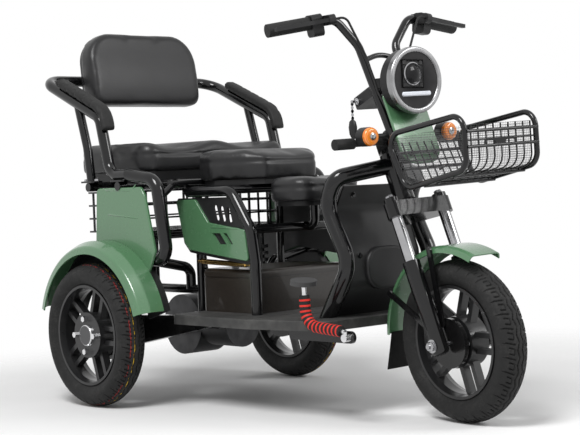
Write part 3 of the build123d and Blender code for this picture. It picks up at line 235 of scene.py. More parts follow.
def floor_plastic():
    """Footboard plastic: coarse grain, lengthwise ribs worn grey where feet go."""
    f = Finish("floor_plastic", shine=0.4)
    wear = f.noise(9) * f.noise(50)
    f.color((0.026, 0.026, 0.026), (0.07, 0.069, 0.066), wear.step(0.05, 0.5))
    f.rough(f.noise(30).between(0.4, 0.65))
    ribs = (f.axis(1) * FLOOR_RIBS).math("SINE")
    f.bump(ribs * 0.5 + f.cells(700), strength=0.3, depth=0.0006)
    return f.material


def green_paint():
    """Sage green gloss paint under clear coat, slightly uneven and dusty at the foot."""
    f = Finish("green_body", coat=0.6)
    low = f.low_down(top=0.42, fade=0.16) * f.noise(40)
    f.color((0.074, 0.19, 0.088), (0.093, 0.21, 0.106), f.noise(6) * 0.6 + low * 0.5)
    f.rough(f.noise(45).between(0.2, 0.32))
    f.bump(f.noise(300), strength=0.04, depth=0.0004)
    return f.material


def seat_leather():
    """Black synthetic leather with a pebbled grain, creases and a soft sheen."""
    f = Finish("seat_cover", shine=0.4)
    f.color((0.006, 0.006, 0.0065), (0.014, 0.014, 0.015), f.noise(8))
    f.rough(f.noise(25).between(0.3, 0.44))
    pebbles = f.cells(520, "SMOOTH_F1")
    creases = f.noise(60, detail=4, stretch=(1, 2.5, 1))
    f.bump(pebbles + creases * 0.6, strength=0.22, depth=0.0008)
    return f.material


def soft_rubber():
    """Matt rubber of grips, pads and sleeves."""
    f = Finish("black_rubber", shine=0.3)
    f.color((0.007, 0.007, 0.007), (0.016, 0.016, 0.016), f.noise(40))
    f.rough(f.noise(60).between(0.55, 0.75))
    f.bump(f.cells(650), strength=0.3, depth=0.0006)
    return f.material


def tyre_rubber():
    """Tyre rubber with road dust, and the thin broken colour lines round the rear treads."""
    f = Finish("tyre", shine=0.35)
    dust = f.noise(30, detail=5) * f.noise(180)
    f.color((0.008, 0.008, 0.008), (0.032, 0.031, 0.03), dust.step(0.2, 0.6))
    out = f.axis(1).math("ABSOLUTE")
    for tint, place in TREAD_LINES:
        line = (out - place).math("ABSOLUTE").math("LESS_THAN", TREAD_LINE_HALF)
        f.over(tint, line * f.noise(60).step(0.42, 0.5))
    f.rough(f.noise(70).between(0.6, 0.85))
    f.bump(f.noise(500, detail=4), strength=0.25, depth=0.0006)
    return f.material


def cast_alloy():
    """Black painted cast wheel with a pitted skin."""
    f = Finish("black_alloy", coat=0.2, shine=0.35)
    f.color((0.007, 0.007, 0.0075), (0.02, 0.02, 0.0205), f.noise(30))
    f.rough(f.noise(90).between(0.22, 0.42))
    f.bump(f.cells(480), strength=0.12, depth=0.0005)
    return f.material


def bare_metal(name, dark, light, rough):
    """Bare metal with fine brushing and cloudy tarnish."""
    f = Finish(name, metal=1.0)
    f.color(dark, light, f.noise(30))
    f.rough(f.noise(240, detail=2, stretch=(1, 1, 0.08)).between(*rough))
    f.bump(f.noise(800, detail=2, stretch=(1, 1, 0.05)), strength=0.05, depth=0.0003)
    return f.material


def spring_paint():
    """Painted damper and spring, chipped to grey on the coils."""
    f = Finish("spring_steel", coat=0.3)
    chips = (f.noise(160) * f.noise(30)).step(0.32, 0.4)
    f.color((0.01, 0.01, 0.011), (0.1, 0.1, 0.1), chips)
    f.rough(f.noise(60).between(0.25, 0.45))
    return f.material


def tail_lens():
    """Red tail lamp lens with close prism ribs inside, drawn as bumps and as painted highlights of lighter
    red along them.
    """
    f = Finish("red_lens", coat=1.0)
    ribs = (f.axis(2) * TAIL_RIBS).math("SINE").between(0.5, 1) * f.noise(50).between(0.7, 1.2)
    # Painted highlights: the colour runs lighter red along each prism rib
    f.color((0.18, 0.004, 0.004), (0.5, 0.015, 0.012), ribs.step(0.1, 0.9))
    f.rough(f.noise(80).between(0.08, 0.2))
    f.bump(ribs, strength=0.3, depth=0.0006)
    return f.material


def signal_lens():
    """Amber indicator lens with concentric prism rings round each lamp's own centre, drawn as bumps and as
    painted highlights of lighter amber on them.
    """
    f = Finish("amber_lens", coat=1.0)
    rings = f.distance(SIGNALS[0]).math("MINIMUM", f.distance(SIGNALS[1]))
    wave = (rings * SIGNAL_RINGS).math("SINE").between(0, 0.5) + 0.25
    # Painted highlights: the colour runs lighter amber on each prism ring; the added noise is random tone
    f.color((0.75, 0.14, 0.004), (1.0, 0.36, 0.02), wave + f.noise(300) * 0.4)
    f.rough(f.noise(90).between(0.08, 0.18))
    f.bump(wave, strength=0.4, depth=0.0006)
    return f.material


def lamp_glass():
    """Headlight glass over a dark reflector, with a painted reflection that lightens it towards its outer
    edge.
    """
    f = Finish("clear_lens", coat=0.1, coat_rough=0.02, shine=0.15)
    # Painted reflection: the glass colour lightens from 2 to 7 cm off its centre, mottled by noise
    painted_reflection = f.distance(LAMP_FACE).step(*LAMP_REFLECTION_SPAN)
    f.color((0.008, 0.008, 0.009), (0.05, 0.049, 0.05), painted_reflection * f.noise(40).between(0.2, 1))
    f.rough(f.noise(60).between(0.05, 0.14))
    return f.material


def pedal_steel():
    """Foot brake: chromed lever below, grey rubber on the pad above."""
    f = Finish("brake_pedal")
    pad = f.axis(2).step(*PEDAL_PAD_Z)
    f.color((0.6, 0.6, 0.61), (0.78, 0.78, 0.79), f.noise(60))
    f.over((0.045, 0.045, 0.046), pad)
    f.feed("Metallic", 1 - pad)
    f.rough(pad.between(0.14, 0.5) + f.noise(90) * 0.1)
    return f.material


def hub_steel():
    """Rear hubs: bright domed nuts round a dull grey cap."""
    f = Finish("rear_hub", metal=1.0)
    ahead = f.axis(0) - REAR_X
    up = f.axis(2) - REAR_HUBS["right"].z
    cap = (ahead * ahead + up * up).math("SQRT").step(HUB_CAP, HUB_CAP - HUB_CAP_EDGE)
    f.color((0.62, 0.62, 0.63), (0.8, 0.8, 0.81), f.noise(60))
    f.over((0.11, 0.11, 0.112), cap)
    f.rough(cap.between(0.12, 0.4) + f.noise(120) * 0.08)
    f.bump(f.noise(260), strength=0.1, depth=0.0004)
    return f.material


def solid(name, low, high, rough, coat=0.0):
    """Plain finish for small trim, still with its own speckle and uneven gloss."""
    f = Finish(name, coat=coat)
    f.color(low, high, f.noise(120))
    f.rough(f.noise(150).between(*rough))
    f.bump(f.noise(900), strength=0.05, depth=0.0003)
    return f.material


def studio_floor():
    """Pale matt floor that fades into the white surround away from the object."""
    f = Finish("floor", shine=0.1)
    f.color((0.88, 0.88, 0.88), (0.92, 0.92, 0.92), f.noise(4))
    f.rough(f.noise(20).between(0.85, 0.98))
    f.feed("Alpha", f.distance((0, 0, 0)).step(*FLOOR_FADE))
    return f.material


def wire_mesh():
    """Fine wire mesh: square holes by its own UV map."""
    f = Finish("basket_net")
    uv = f.add("ShaderNodeUVMap", "UV")
    wires = [
        f.add("ShaderNodeSeparateXYZ", way, None, {0: uv}).math("FRACT").math("LESS_THAN", MESH_WIRE)
        for way in (0, 1)
    ]
    f.feed("Alpha", wires[0].math("MAXIMUM", wires[1]))
    f.color((0.03, 0.03, 0.032), (0.09, 0.09, 0.092), f.noise(90))
    f.rough(f.noise(50).between(0.5, 0.7))
    return f.material


FINISHES = {
    "black_tube": black_paint(),
    "black_plastic": black_plastic(),
    "green_body": green_paint(),
    "seat_cover": seat_leather(),
    "black_rubber": soft_rubber(),
    "motor_metal": bare_metal("motor_metal", (0.03, 0.03, 0.031), (0.08, 0.08, 0.082), (0.3, 0.5)),
    "spring_steel": spring_paint(),
    "bright_steel": bare_metal("bright_steel", (0.3, 0.3, 0.31), (0.5, 0.5, 0.51), (0.1, 0.22)),
    "red_lens": tail_lens(),
    "amber_lens": signal_lens(),
    "clear_lens": lamp_glass(),
    "tyre": tyre_rubber(),
    "black_alloy": cast_alloy(),
}
RED_FOAM = solid("red_foam", (0.55, 0.012, 0.008), (0.75, 0.03, 0.015), (0.5, 0.7))
BRASS = bare_metal("brass_rod", (0.5, 0.3, 0.08), (0.58, 0.37, 0.12), (0.18, 0.3))
WHITE_BAR = solid("light_bar", (0.72, 0.76, 0.85), (0.9, 0.92, 0.96), (0.2, 0.3), coat=0.5)
WIRE_MESH = wire_mesh()
for entry in frame["record"]["subparts"]:
    skin = nodes[entry["node"]].data
    skin.materials.clear()
    skin.materials.append(FINISHES[entry["material_slot"]])
OWN_FINISHES = {
    "footboard": floor_plastic(),
    "battery_box": solid("battery_box", (0.013, 0.01, 0.008), (0.035, 0.028, 0.022), (0.25, 0.4), coat=0.3),
    "brake_pedal": pedal_steel(),
    "rear_right_hub": hub_steel(),
    "headlight_ring": bare_metal("satin_ring", (0.2, 0.2, 0.205), (0.42, 0.42, 0.425), (0.22, 0.36)),
}
OWN_FINISHES["rear_left_hub"] = OWN_FINISHES["rear_right_hub"]
for name, finish in OWN_FINISHES.items():
    nodes[name].data.materials[0] = finish


# Mesh helpers
SHARP_FROM = radians(40)


def piece(name, mesh, body, slot, finish=None):
    """Link a mesh as a piece that rides on a body."""
    made = bpy.data.objects.new(name, mesh)
    scene.collection.objects.link(made)
    mesh.materials.clear()
    mesh.materials.append(finish or FINISHES[slot])
    mesh.polygons.foreach_set("use_smooth", [True] * len(mesh.polygons))
    mesh.set_sharp_from_angle(angle=SHARP_FROM)
    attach(made, body)
    return made


def cross_axes(axis):
    """Two unit vectors square to an axis and to each other."""
    axis = axis.normalized()
    first = axis.cross(UP if abs(axis.z) < 0.9 else LEFT).normalized()
    return first, axis.cross(first)


def skinned(shape, pairs):
    """Join pairs of rings by four-sided faces all round."""
    for low, high in pairs:
        for index in range(len(low)):
            after = (index + 1) % len(low)
            shape.faces.new((low[index], low[after], high[after], high[index]))


def lathe(shape, profile, centre, axis, segments=32, start=0.0):
    """Add a turned form to a bmesh: profile rows of radius and height along the axis."""
    first, second = cross_axes(axis)
    axis = axis.normalized()
    rings = []
    for radius, height in profile:
        ring = []
        for index in range(segments):
            angle = start + 2 * pi * index / segments
            offset = first * (radius * cos(angle)) + second * (radius * sin(angle))
            ring.append(shape.verts.new(centre + axis * height + offset))
        rings.append(ring)
    skinned(shape, zip(rings, rings[1:]))
    shape.faces.new(list(reversed(rings[0])))
    shape.faces.new(rings[-1])


def finished(shape, name):
    """Turn a bmesh into a named mesh with outward normals."""
    bmesh.ops.recalc_face_normals(shape, faces=shape.faces[:])
    mesh = bpy.data.meshes.new(name)
    shape.to_mesh(mesh)
    shape.free()
    return mesh


def turned(name, forms, body, slot, finish=None):
    """Piece of turned forms, each given as profile, centre, axis and segments."""
    shape = bmesh.new()
    for form in forms:
        lathe(shape, *form)
    piece(name, finished(shape, name), body, slot, finish)


# Rows of like items by Geometry Nodes
def stand_tree():
    """Tree that stands an item on every point, along the point's direction and at its own size."""
    tree = bpy.data.node_groups.new("stand_on_points", "GeometryNodeTree")
    kinds = (("Points", "Geometry"), ("Item", "Object"), ("Scale", "Float"), ("Finish", "Material"))
    for label, kind in kinds:
        tree.interface.new_socket(label, in_out="INPUT", socket_type=f"NodeSocket{kind}")
    tree.interface.new_socket("Row", in_out="OUTPUT", socket_type="NodeSocketGeometry")
    start = add_node(tree, "NodeGroupInput")
    given = {label: Sock(tree, start.outputs[label]) for label, _ in kinds}

    def add(kind, output, settings=None, sockets=None):
        return Sock(tree, add_node(tree, kind, settings, sockets).outputs[output])

    item = add("GeometryNodeObjectInfo", "Geometry", None, {"Object": given["Item"]})
    attribute = "GeometryNodeInputNamedAttribute"
    facing = add(attribute, "Attribute", {"data_type": "FLOAT_VECTOR"}, {"Name": "facing"})
    size = add(attribute, "Attribute", {"data_type": "FLOAT"}, {"Name": "size"})
    stand = {
        "Points": given["Points"],
        "Instance": item,
        "Rotation": add("FunctionNodeAlignRotationToVector", "Rotation", {"axis": "Z"}, {"Vector": facing}),
        "Scale": size * given["Scale"],
    }
    stood_items = add("GeometryNodeInstanceOnPoints", "Instances", None, stand)
    real = add("GeometryNodeRealizeInstances", "Geometry", None, {"Geometry": stood_items})
    paint = {"Geometry": real, "Material": given["Finish"]}
    add_node(tree, "NodeGroupOutput", None, {"Row": add("GeometryNodeSetMaterial", "Geometry", None, paint)})
    return tree


STAND = stand_tree()


def stood(name, profiles, rows, body, slot, finish=None):
    """Piece of turned items stood on rows of place, direction and size."""
    shape = bmesh.new()
    for profile, segments in profiles:
        lathe(shape, profile, Vector(), UP, segments)
    item = bpy.data.objects.new(f"{name}_item", finished(shape, f"{name}_item"))
    scene.collection.objects.link(item)
    points = bpy.data.meshes.new(name)
    points.from_pydata([place for place, _, _ in rows], [], [])
    facing = points.attributes.new("facing", "FLOAT_VECTOR", "POINT")
    facing.data.foreach_set("vector", [part for _, way, _ in rows for part in way])
    size = points.attributes.new("size", "FLOAT", "POINT")
    size.data.foreach_set("value", [value for _, _, value in rows])
    made = bpy.data.objects.new(f"{name}_points", points)
    scene.collection.objects.link(made)
    modifier = made.modifiers.new("stand", "NODES")
    modifier.node_group = STAND
    values = {"Item": item, "Scale": 1.0, "Finish": finish or FINISHES[slot]}
    for socket in STAND.interface.items_tree:
        if socket.in_out == "INPUT" and socket.name in values:
            modifier[socket.identifier] = values[socket.name]
    graph = bpy.context.evaluated_depsgraph_get()
    mesh = bpy.data.meshes.new_from_object(made.evaluated_get(graph))
    for spare in (made, item):
        bpy.data.objects.remove(spare)
    piece(name, mesh, body, slot, finish)


# Tyres with cut treads
TYRE_R = 0.202
SHOULDER_DROP = 0.013
TREAD_HALF = 0.033
WALL_HALF = 0.039
WALL_ROWS = (0.2, 0.4, 0.6, 0.8)
WALL_FULLNESS = 0.7
WALL_FLARE = 0.006
BEAD_R = 0.137
BEAD_HALF = 0.027
BEAD_RISE = 0.005
AROUND = 748
ACROSS = 40

# Tread pattern: along in blocks, across in shares of the tread's half width
BLOCKS = 34
TREAD_DEEP = 0.0042
GROOVE_WALL = 2.2
GROOVE_HALF = 0.055
SLANT = 0.3
WAVE_OUT = 0.2
WAVE_SWING = 0.06
CUT_FROM = 0.42
CUT_HALF = 0.06
LOOP_FROM = 0.5
LOOP_TO = 0.88
LOOP_HALF = 0.2


def ridge(value, width):
    """1 on a groove's middle line, falling to 0 past its half width."""
    edge = 1 - min(abs(value) / width, 1)
    return min(edge * GROOVE_WALL, 1)


def tread_depth(turn, side):
    """Groove depth at a place on the tread: a wave each side of the middle, loops and cuts outside it."""
    out = abs(side)
    phase = turn * BLOCKS + (0.5 if side > 0 else 0)
    place = (phase + SLANT * out) % 1 - 0.5
    wave = ridge(out - WAVE_OUT - WAVE_SWING * sin(2 * pi * phase), GROOVE_HALF)
    cut = ridge(abs(place) - 0.5, CUT_HALF) if out > CUT_FROM else 0
    loop = ridge(abs(place) - LOOP_HALF, GROOVE_HALF) if LOOP_FROM < out < LOOP_TO else 0
    end = ridge(out - LOOP_FROM, GROOVE_HALF) if abs(place) < LOOP_HALF else 0
    return TREAD_DEEP * max(wave, cut, loop, end)


def tyre_profile():
    """Radius, side and tread place of each row from one bead over the crown to the other."""
    foot_r = BEAD_R + BEAD_RISE
    wall_rise = TYRE_R - SHOULDER_DROP - foot_r
    wall = [(BEAD_R, BEAD_HALF, None), (foot_r, BEAD_HALF, None)]
    for share in WALL_ROWS:
        bulge = (WALL_HALF - BEAD_HALF) * sin(pi * share) ** WALL_FULLNESS + WALL_FLARE * share
        wall.append((foot_r + wall_rise * share, BEAD_HALF + bulge, None))
    crown = []
    for index in range(ACROSS + 1):
        side = 1 - 2 * index / ACROSS
        crown.append((TYRE_R - SHOULDER_DROP * side**2, side * TREAD_HALF, side))
    return wall + crown + [(radius, -side, None) for radius, side, _ in reversed(wall)]


def tyre(side, body, centre, axis):
    """One tyre, in place of its plain solid."""
    first, second = cross_axes(axis)
    shape = bmesh.new()
    rings = []
    for radius, offset, place in tyre_profile():
        ring = []
        for index in range(AROUND):
            turn = index / AROUND
            deep = 0 if place is None else tread_depth(turn, place)
            out = first * cos(2 * pi * turn) + second * sin(2 * pi * turn)
            ring.append(shape.verts.new(centre + axis * offset + out * (radius - deep)))
        rings.append(ring)
    skinned(shape, zip(rings, rings[1:] + rings[:1]))
    made = piece(f"{side}_tread", finished(shape, f"{side}_tread"), body, "tyre")
    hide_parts(f"{side}_tyre")


tyre("front", "front_wheel", HUB, HUB_AXIS)
for side, hub in REAR_HUBS.items():
    tyre(f"rear_{side}", f"rear_wheel_{side}", hub, LEFT)


# Cushions by cloth simulation: a cover starts as its solid or a little larger, and swells by up to a cap
VOXEL = 0.0055
PRESSURE = 4.0
BENDING = 30.0
SIM_FRAMES = 20
SMOOTHING = 0.5
ROUNDING = 4
PAD_ROUNDING = 3
TAUTNESS = 8
SWELL = 0.003
SEAT_CAP = 0.004
BACK_CAP = 0.0025
PAD_CAP = 0.003

# Their forms: heights, hollows and widths in metres, places along and up in shares of the cushion's box
WAIST = 0.4
BENCH_RISE = 0.01
BENCH_HOLLOW = 0.022
BENCH_SEAT_Y = 0.13
BENCH_AHEAD = 0.75
SADDLE_RISE = 0.008
SADDLE_HOLLOW = 0.014
SADDLE_AHEAD = 0.4
SADDLE_HALF = 0.13
NOSE_FROM = 0.75
NOSE_DROP = 0.012
CHILD_RISE = 0.003
CHILD_HOLLOW = 0.008
CHILD_HALF = 0.09
BACK_FULL = 0.02
BACK_FULL_AT = 0.4

# Their seams and the pads' slots
SEAM_DEEP = 0.0024
SEAM_HALF = 0.006
TOP_SEAM = 0.02
BACK_SEAM = 0.4
BACK_LEAN = 0.1
PAD_SLOT = 0.04
PAD_SIDE = 0.012
NO_SEAM = 1.0


def settle(made):
    """Replace a piece's mesh by what its modifiers give, and drop them."""
    graph = bpy.context.evaluated_depsgraph_get()
    mesh = bpy.data.meshes.new_from_object(made.evaluated_get(graph))
    made.modifiers.clear()
    made.data = mesh


def smoothed(made, times):
    """Add a modifier that smooths a piece a number of times."""
    smooth = made.modifiers.new("smoothed", "SMOOTH")
    smooth.factor = SMOOTHING
    smooth.iterations = times


def remeshed(node, swell, shape_by, rounding):
    """Copy of a soft solid, made a little larger on the same base, divided evenly and shaped."""
    low, high = (Vector(corner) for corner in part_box(node))
    middle = (low + high) / 2
    made = bpy.data.objects.new(f"{node}_cover", nodes[node].data.copy())
    scene.collection.objects.link(made)
    half = (high - low) / 2
    for vertex in made.data.vertices:
        for k in range(3):
            vertex.co[k] = middle[k] + (vertex.co[k] - middle[k]) * (1 + swell / half[k])
        if vertex.co.z < middle.z:
            vertex.co.z += swell
    remesh = made.modifiers.new("even", "REMESH")
    remesh.mode = "VOXEL"
    remesh.voxel_size = VOXEL
    smoothed(made, rounding)
    settle(made)
    for vertex in made.data.vertices:
        vertex.co = shape_by(vertex.co, low, high)
    return made


def puffed(made, cap):
    """Swell a cover by cloth pressure, each point by no more than the cap, and draw it taut."""
    start = [vertex.co.copy() for vertex in made.data.vertices]
    cloth = made.modifiers.new("puff", "CLOTH")
    cloth.settings.use_pressure = True
    cloth.settings.uniform_pressure_force = PRESSURE
    cloth.settings.effector_weights.gravity = 0
    cloth.settings.bending_stiffness = BENDING
    cloth.point_cache.frame_start = 1
    cloth.point_cache.frame_end = SIM_FRAMES
    for moment in range(1, SIM_FRAMES + 1):
        scene.frame_set(moment)
    settle(made)
    scene.frame_set(1)
    for vertex, old in zip(made.data.vertices, start):
        move = vertex.co - old
        if move.length > cap:
            vertex.co = old + move.normalized() * cap
    smoothed(made, TAUTNESS)
    settle(made)


def cushion(node, swell, cap, seam, shape_by, slot="seat_cover", rounding=ROUNDING):
    """Padded cover in place of a soft solid, with its seams drawn in and a flat base."""
    low, high = (Vector(corner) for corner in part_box(node))
    made = remeshed(node, swell, shape_by, rounding)
    puffed(made, cap)
    for vertex in made.data.vertices:
        vertex.co -= vertex.normal * (SEAM_DEEP * ridge(seam(vertex.co, low, high), SEAM_HALF))
        vertex.co.z = max(vertex.co.z, low.z)
    smooth = made.modifiers.new("smooth", "SUBSURF")
    smooth.levels = 1
    smooth.render_levels = 1
    settle(made)
    made.data.materials.clear()
    made.data.materials.append(FINISHES[slot])
    made.data.polygons.foreach_set("use_smooth", [True] * len(made.data.polygons))
    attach(made, "frame")
    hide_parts(node)


def dip(value, width):
    """Bell curve, 1 at 0 and 0 past the width."""
    return max(0.0, 1 - (value / width) ** 2) ** 2


def shares(at, low, high):
    """Place of a point in its cushion's box, from 0 to 1 along each axis."""
    return [(at[k] - low[k]) / (high[k] - low[k]) for k in range(3)]


def above_waist(rise):
    """0 up to the cushion's waist and 1 at its top."""
    return max(0.0, rise - WAIST) / (1 - WAIST)


def bench_form(at, low, high):
    """Two seats side by side: a hollow for each, deepest towards the front."""
    ahead, _, rise = shares(at, low, high)
    hollow = dip(abs(at.y) - BENCH_SEAT_Y, BENCH_SEAT_Y) * dip(ahead - BENCH_AHEAD, BENCH_AHEAD)
    at.z += above_waist(rise) * (BENCH_RISE - BENCH_HOLLOW * hollow)
    return at


def saddle_form(at, low, high):
    """Driver's seat: hollow behind the middle, nose rolled down."""
    ahead, _, rise = shares(at, low, high)
    hollow = dip(ahead - SADDLE_AHEAD, SADDLE_AHEAD) * dip(at.y, SADDLE_HALF)
    nose = max(0, ahead - NOSE_FROM) / (1 - NOSE_FROM)
    at.z += above_waist(rise) * (SADDLE_RISE - SADDLE_HOLLOW * hollow - NOSE_DROP * nose)
    return at


def child_form(at, low, high):
    """Child seat: a shallow hollow along the middle."""
    _, _, rise = shares(at, low, high)
    at.z += above_waist(rise) * (CHILD_RISE - CHILD_HOLLOW * dip(at.y, CHILD_HALF))
    return at


def back_form(at, low, high):
    """Backrest: fuller at the lower back."""
    ahead, _, rise = shares(at, low, high)
    at.x += max(0.0, ahead - BACK_SEAM) * BACK_FULL * dip(rise - BACK_FULL_AT, 1 - BACK_FULL_AT)
    return at


def pad_form(at, low, high):
    """Armrest pad: as its solid."""
    return at


def pad_slots(at, low, high):
    """Cross slots along the pads' outer sides."""
    across = (at.x - low.x) % PAD_SLOT - PAD_SLOT / 2
    return across if abs(at.y) > high.y - PAD_SIDE else NO_SEAM


def top_seam(at, low, high):
    """Seam round a seat, a little below its top."""
    return at.z - (high.z - TOP_SEAM)


def back_seam(at, low, high):
    """Seam round the backrest, along its lean."""
    return at.x - (low.x + BACK_SEAM * (high.x - low.x)) - BACK_LEAN * (low.z - at.z)


cushion("bench_cushion", SWELL, SEAT_CAP, top_seam, bench_form)
cushion("driver_cushion", SWELL, SEAT_CAP, top_seam, saddle_form)
cushion("child_cushion", SWELL, SEAT_CAP, top_seam, child_form)
cushion("backrest_cushion", SWELL, BACK_CAP, back_seam, back_form)
cushion("armrest_pads", 0.0, PAD_CAP, pad_slots, pad_form, "black_rubber", PAD_ROUNDING)


# Headlight: housing, projector, its bezel and a light bar on the glass; bright centres in the signals
LAMP_FRONT = LAMP_FACE + LAMP_AXIS * 0.0042
LAMP_EYE = LAMP_FRONT - HUB_AXIS * 0.012 + UP * 0.016
BEZEL = ((0.029, 0), (0.029, 0.003), (0.0265, 0.0045), (0.025, 0.001), (0.0245, 0.0005))
HOUSING = ((0.05, 0), (0.05, 0.002), (0.046, 0.003), (0.043, 0.0004))
HOUSING_ROUND = 0.008
HOUSING_CORNER = 0.3
PROJECTOR = ((0.0245, 0.0006), (0.02, 0.004), (0.012, 0.0062), (0.004, 0.007))
LIGHT_BAR = (0.006, 0.094, 0.011, 1)
LIGHT_BAR_DROP = 0.034
LIGHT_BAR_ROUND = 0.0022
SIGNAL_CENTRE = ((0.009, 0), (0.009, 0.002), (0.005, 0.0035), (0.002, 0.001))


def lamp_housing():
    """Square plate with rounded corners round the projector."""
    shape = bmesh.new()
    lathe(shape, HOUSING, LAMP_EYE, LAMP_AXIS, 4, pi / 4)
    corners = []
    for edge in shape.edges:
        run = (edge.verts[0].co - edge.verts[1].co).normalized()
        if abs(run.dot(LAMP_AXIS)) > HOUSING_CORNER:
            corners.append(edge)
    bmesh.ops.bevel(shape, geom=corners, offset=HOUSING_ROUND, segments=4, affect="EDGES")
    piece("lamp_housing", finished(shape, "lamp_housing"), "steering", "black_plastic")


def lamp_bar():
    """Light bar across the lower half of the glass."""
    shape = bmesh.new()
    turn = Matrix((LAMP_AXIS, HUB_AXIS, LAMP_AXIS.cross(HUB_AXIS))).transposed().to_4x4()
    place = Matrix.Translation(LAMP_FRONT - UP * LIGHT_BAR_DROP)
    bmesh.ops.create_cube(shape, size=1, matrix=place @ turn @ Matrix.Diagonal(LIGHT_BAR))
    bmesh.ops.bevel(shape, geom=shape.edges[:], offset=LIGHT_BAR_ROUND, segments=3, affect="EDGES")
    piece("lamp_bar", finished(shape, "lamp_bar"), "steering", "clear_lens", WHITE_BAR)


# Key with its chain and fob under the dash pod
LOCK = fork_point(-0.028, -0.0575, 0.668)
LOCK_FACE = ((0.009, -0.003), (0.009, 0.004), (0.0065, 0.0055))
KEY_BOW = ((0.0012, 0.004), (0.0045, 0.012), (0.0045, 0.02), (0.0012, 0.022))
CHAIN_LINK = ((0.0045, -0.0009), (0.005, 0), (0.0045, 0.0009))
CHAIN_LINKS = 5
CHAIN_OUT = 0.019
CHAIN_TOP = 0.006
CHAIN_PITCH = 0.009
FOB = ((0.004, 0.03), (0.012, 0.024), (0.0155, 0.01), (0.0135, -0.008), (0.006, -0.02))
FOB_DROP = 0.075
FOB_FLATTER = 0.55


def key_set():
    out = -HUB_AXIS
    forms = [(LOCK_FACE, LOCK, out, 24), (KEY_BOW, LOCK, out, 12)]
    for index in range(CHAIN_LINKS):
        at = LOCK + out * CHAIN_OUT - UP * (CHAIN_TOP + CHAIN_PITCH * index)
        forms.append((CHAIN_LINK, at, HUB_AXIS if index % 2 else LAMP_AXIS, 14))
    turned("key_chain", forms, "steering", "bright_steel")
    shape = bmesh.new()
    fob = LOCK + out * CHAIN_OUT - UP * FOB_DROP
    lathe(shape, FOB, fob, UP, 24)
    for vertex in shape.verts:
        vertex.co -= HUB_AXIS * ((vertex.co - fob).dot(HUB_AXIS) * FOB_FLATTER)
    piece("key_fob", finished(shape, "key_fob"), "steering", "black_plastic")


# Foot brake: red rings on the foam sleeve
SLEEVE_R = 0.0135
LEVER = (spot(0.754, -0.252, 0.352), spot(0.758, -0.252, 0.25), spot(0.898, -0.252, 0.24))
LEVER_BEND = 0.045
RINGS = 13
RINGS_FROM = 0.17
RINGS_SPAN = 0.74
RING_IN = SLEEVE_R - 0.001
RING_OUT = SLEEVE_R + 0.0008
RING_HALF = 0.0034
RING_FLAT = RING_HALF * 0.6
RING = ((RING_IN, -RING_HALF), (RING_OUT, -RING_FLAT), (RING_OUT, RING_FLAT), (RING_IN, RING_HALF))


def bent(points, radius, share):
    """Place and direction at a share of the way along two runs joined by one bend."""
    start, corner, stop = points
    back = (start - corner).normalized()
    forth = (stop - corner).normalized()
    half = back.angle(forth) / 2
    cut = radius / tan(half)
    arc = radius * (pi - 2 * half)
    first = (start - corner).length - cut
    last = (stop - corner).length - cut
    along = share * (first + arc + last)
    if along < first:
        return start - back * along, -back
    if along > first + arc:
        return corner + forth * (cut + along - first - arc), forth
    centre = corner + (back + forth).normalized() * (radius / sin(half))
    sweep = Matrix.Rotation((along - first) / radius, 3, -back.cross(forth))
    return centre + sweep @ (corner + back * cut - centre), (sweep @ -back).normalized()


def foam_rings():
    along = [RINGS_FROM + RINGS_SPAN * k / (RINGS - 1) for k in range(RINGS)]
    rows = [(*bent(LEVER, LEVER_BEND, share), 1.0) for share in along]
    stood("foam_rings", ((RING, 32),), rows, "frame", "black_rubber", RED_FOAM)


# Fine wire mesh inside the basket's rods: x and z of its folds from back to front
BASKET = (
    (-0.101, 0.508), (-0.0335, 0.392), (-0.02, 0.3925), (0.158, 0.4275), (0.1745, 0.436), (0.1745, 0.53)
)
MESH_HALF = 0.1045
MESH_PITCH = 0.0055


def basket_net():
    mesh = bpy.data.meshes.new("basket_net")
    shape = bmesh.new()
    uv = shape.loops.layers.uv.new("UVMap")
    run = 0.0
    for (x0, z0), (x1, z1) in zip(BASKET, BASKET[1:]):
        length = ((x1 - x0) ** 2 + (z1 - z0) ** 2) ** 0.5
        corners = (
            (x0, -MESH_HALF, z0, run), (x1, -MESH_HALF, z1, run + length),
            (x1, MESH_HALF, z1, run + length), (x0, MESH_HALF, z0, run),
        )
        face = shape.faces.new([shape.verts.new(bar(x, y, z)) for x, y, z, _ in corners])
        for loop, (_, y, _, place) in zip(face.loops, corners):
            loop[uv].uv = (place / MESH_PITCH, y / MESH_PITCH)
        run += length
    for side in (-1, 1):
        face = shape.faces.new([shape.verts.new(bar(x, side * MESH_HALF, z)) for x, z in BASKET])
        for loop, (x, z) in zip(face.loops, BASKET):
            loop[uv].uv = (x / MESH_PITCH, z / MESH_PITCH)
    shape.to_mesh(mesh)
    shape.free()
    piece("basket_net", mesh, "steering", "black_tube", WIRE_MESH)


# Flap below the front fender's tail, round the front axle
FLAP_ROWS = 12
FLAP_COLS = 8
FLAP_FROM = 177
FLAP_TURN = 22
FLAP_R = 0.236
FLAP_FLARE = 0.024
FLAP_HALF = 0.047
FLAP_TOP = 0.72
FLAP_BOW = 0.003
FLAP_THICK = 0.003


def front_flap():
    shape = bmesh.new()
    grid = []
    for row in range(FLAP_ROWS + 1):
        down = row / FLAP_ROWS
        angle = radians(FLAP_FROM + FLAP_TURN * down)
        line = []
        for col in range(FLAP_COLS + 1):
            side = 2 * col / FLAP_COLS - 1
            radius = FLAP_R + FLAP_FLARE * down**2 - FLAP_BOW * side**2
            across = FLAP_HALF * side * (FLAP_TOP + (1 - FLAP_TOP) * down)
            line.append(shape.verts.new(bar(radius * cos(angle), across, radius * sin(angle))))
        grid.append(line)
    for low, high in zip(grid, grid[1:]):
        for col in range(FLAP_COLS):
            shape.faces.new((low[col], low[col + 1], high[col + 1], high[col]))
    bmesh.ops.solidify(shape, geom=shape.faces[:], thickness=FLAP_THICK)
    piece("front_flap", finished(shape, "front_flap"), "steering", "black_rubber")


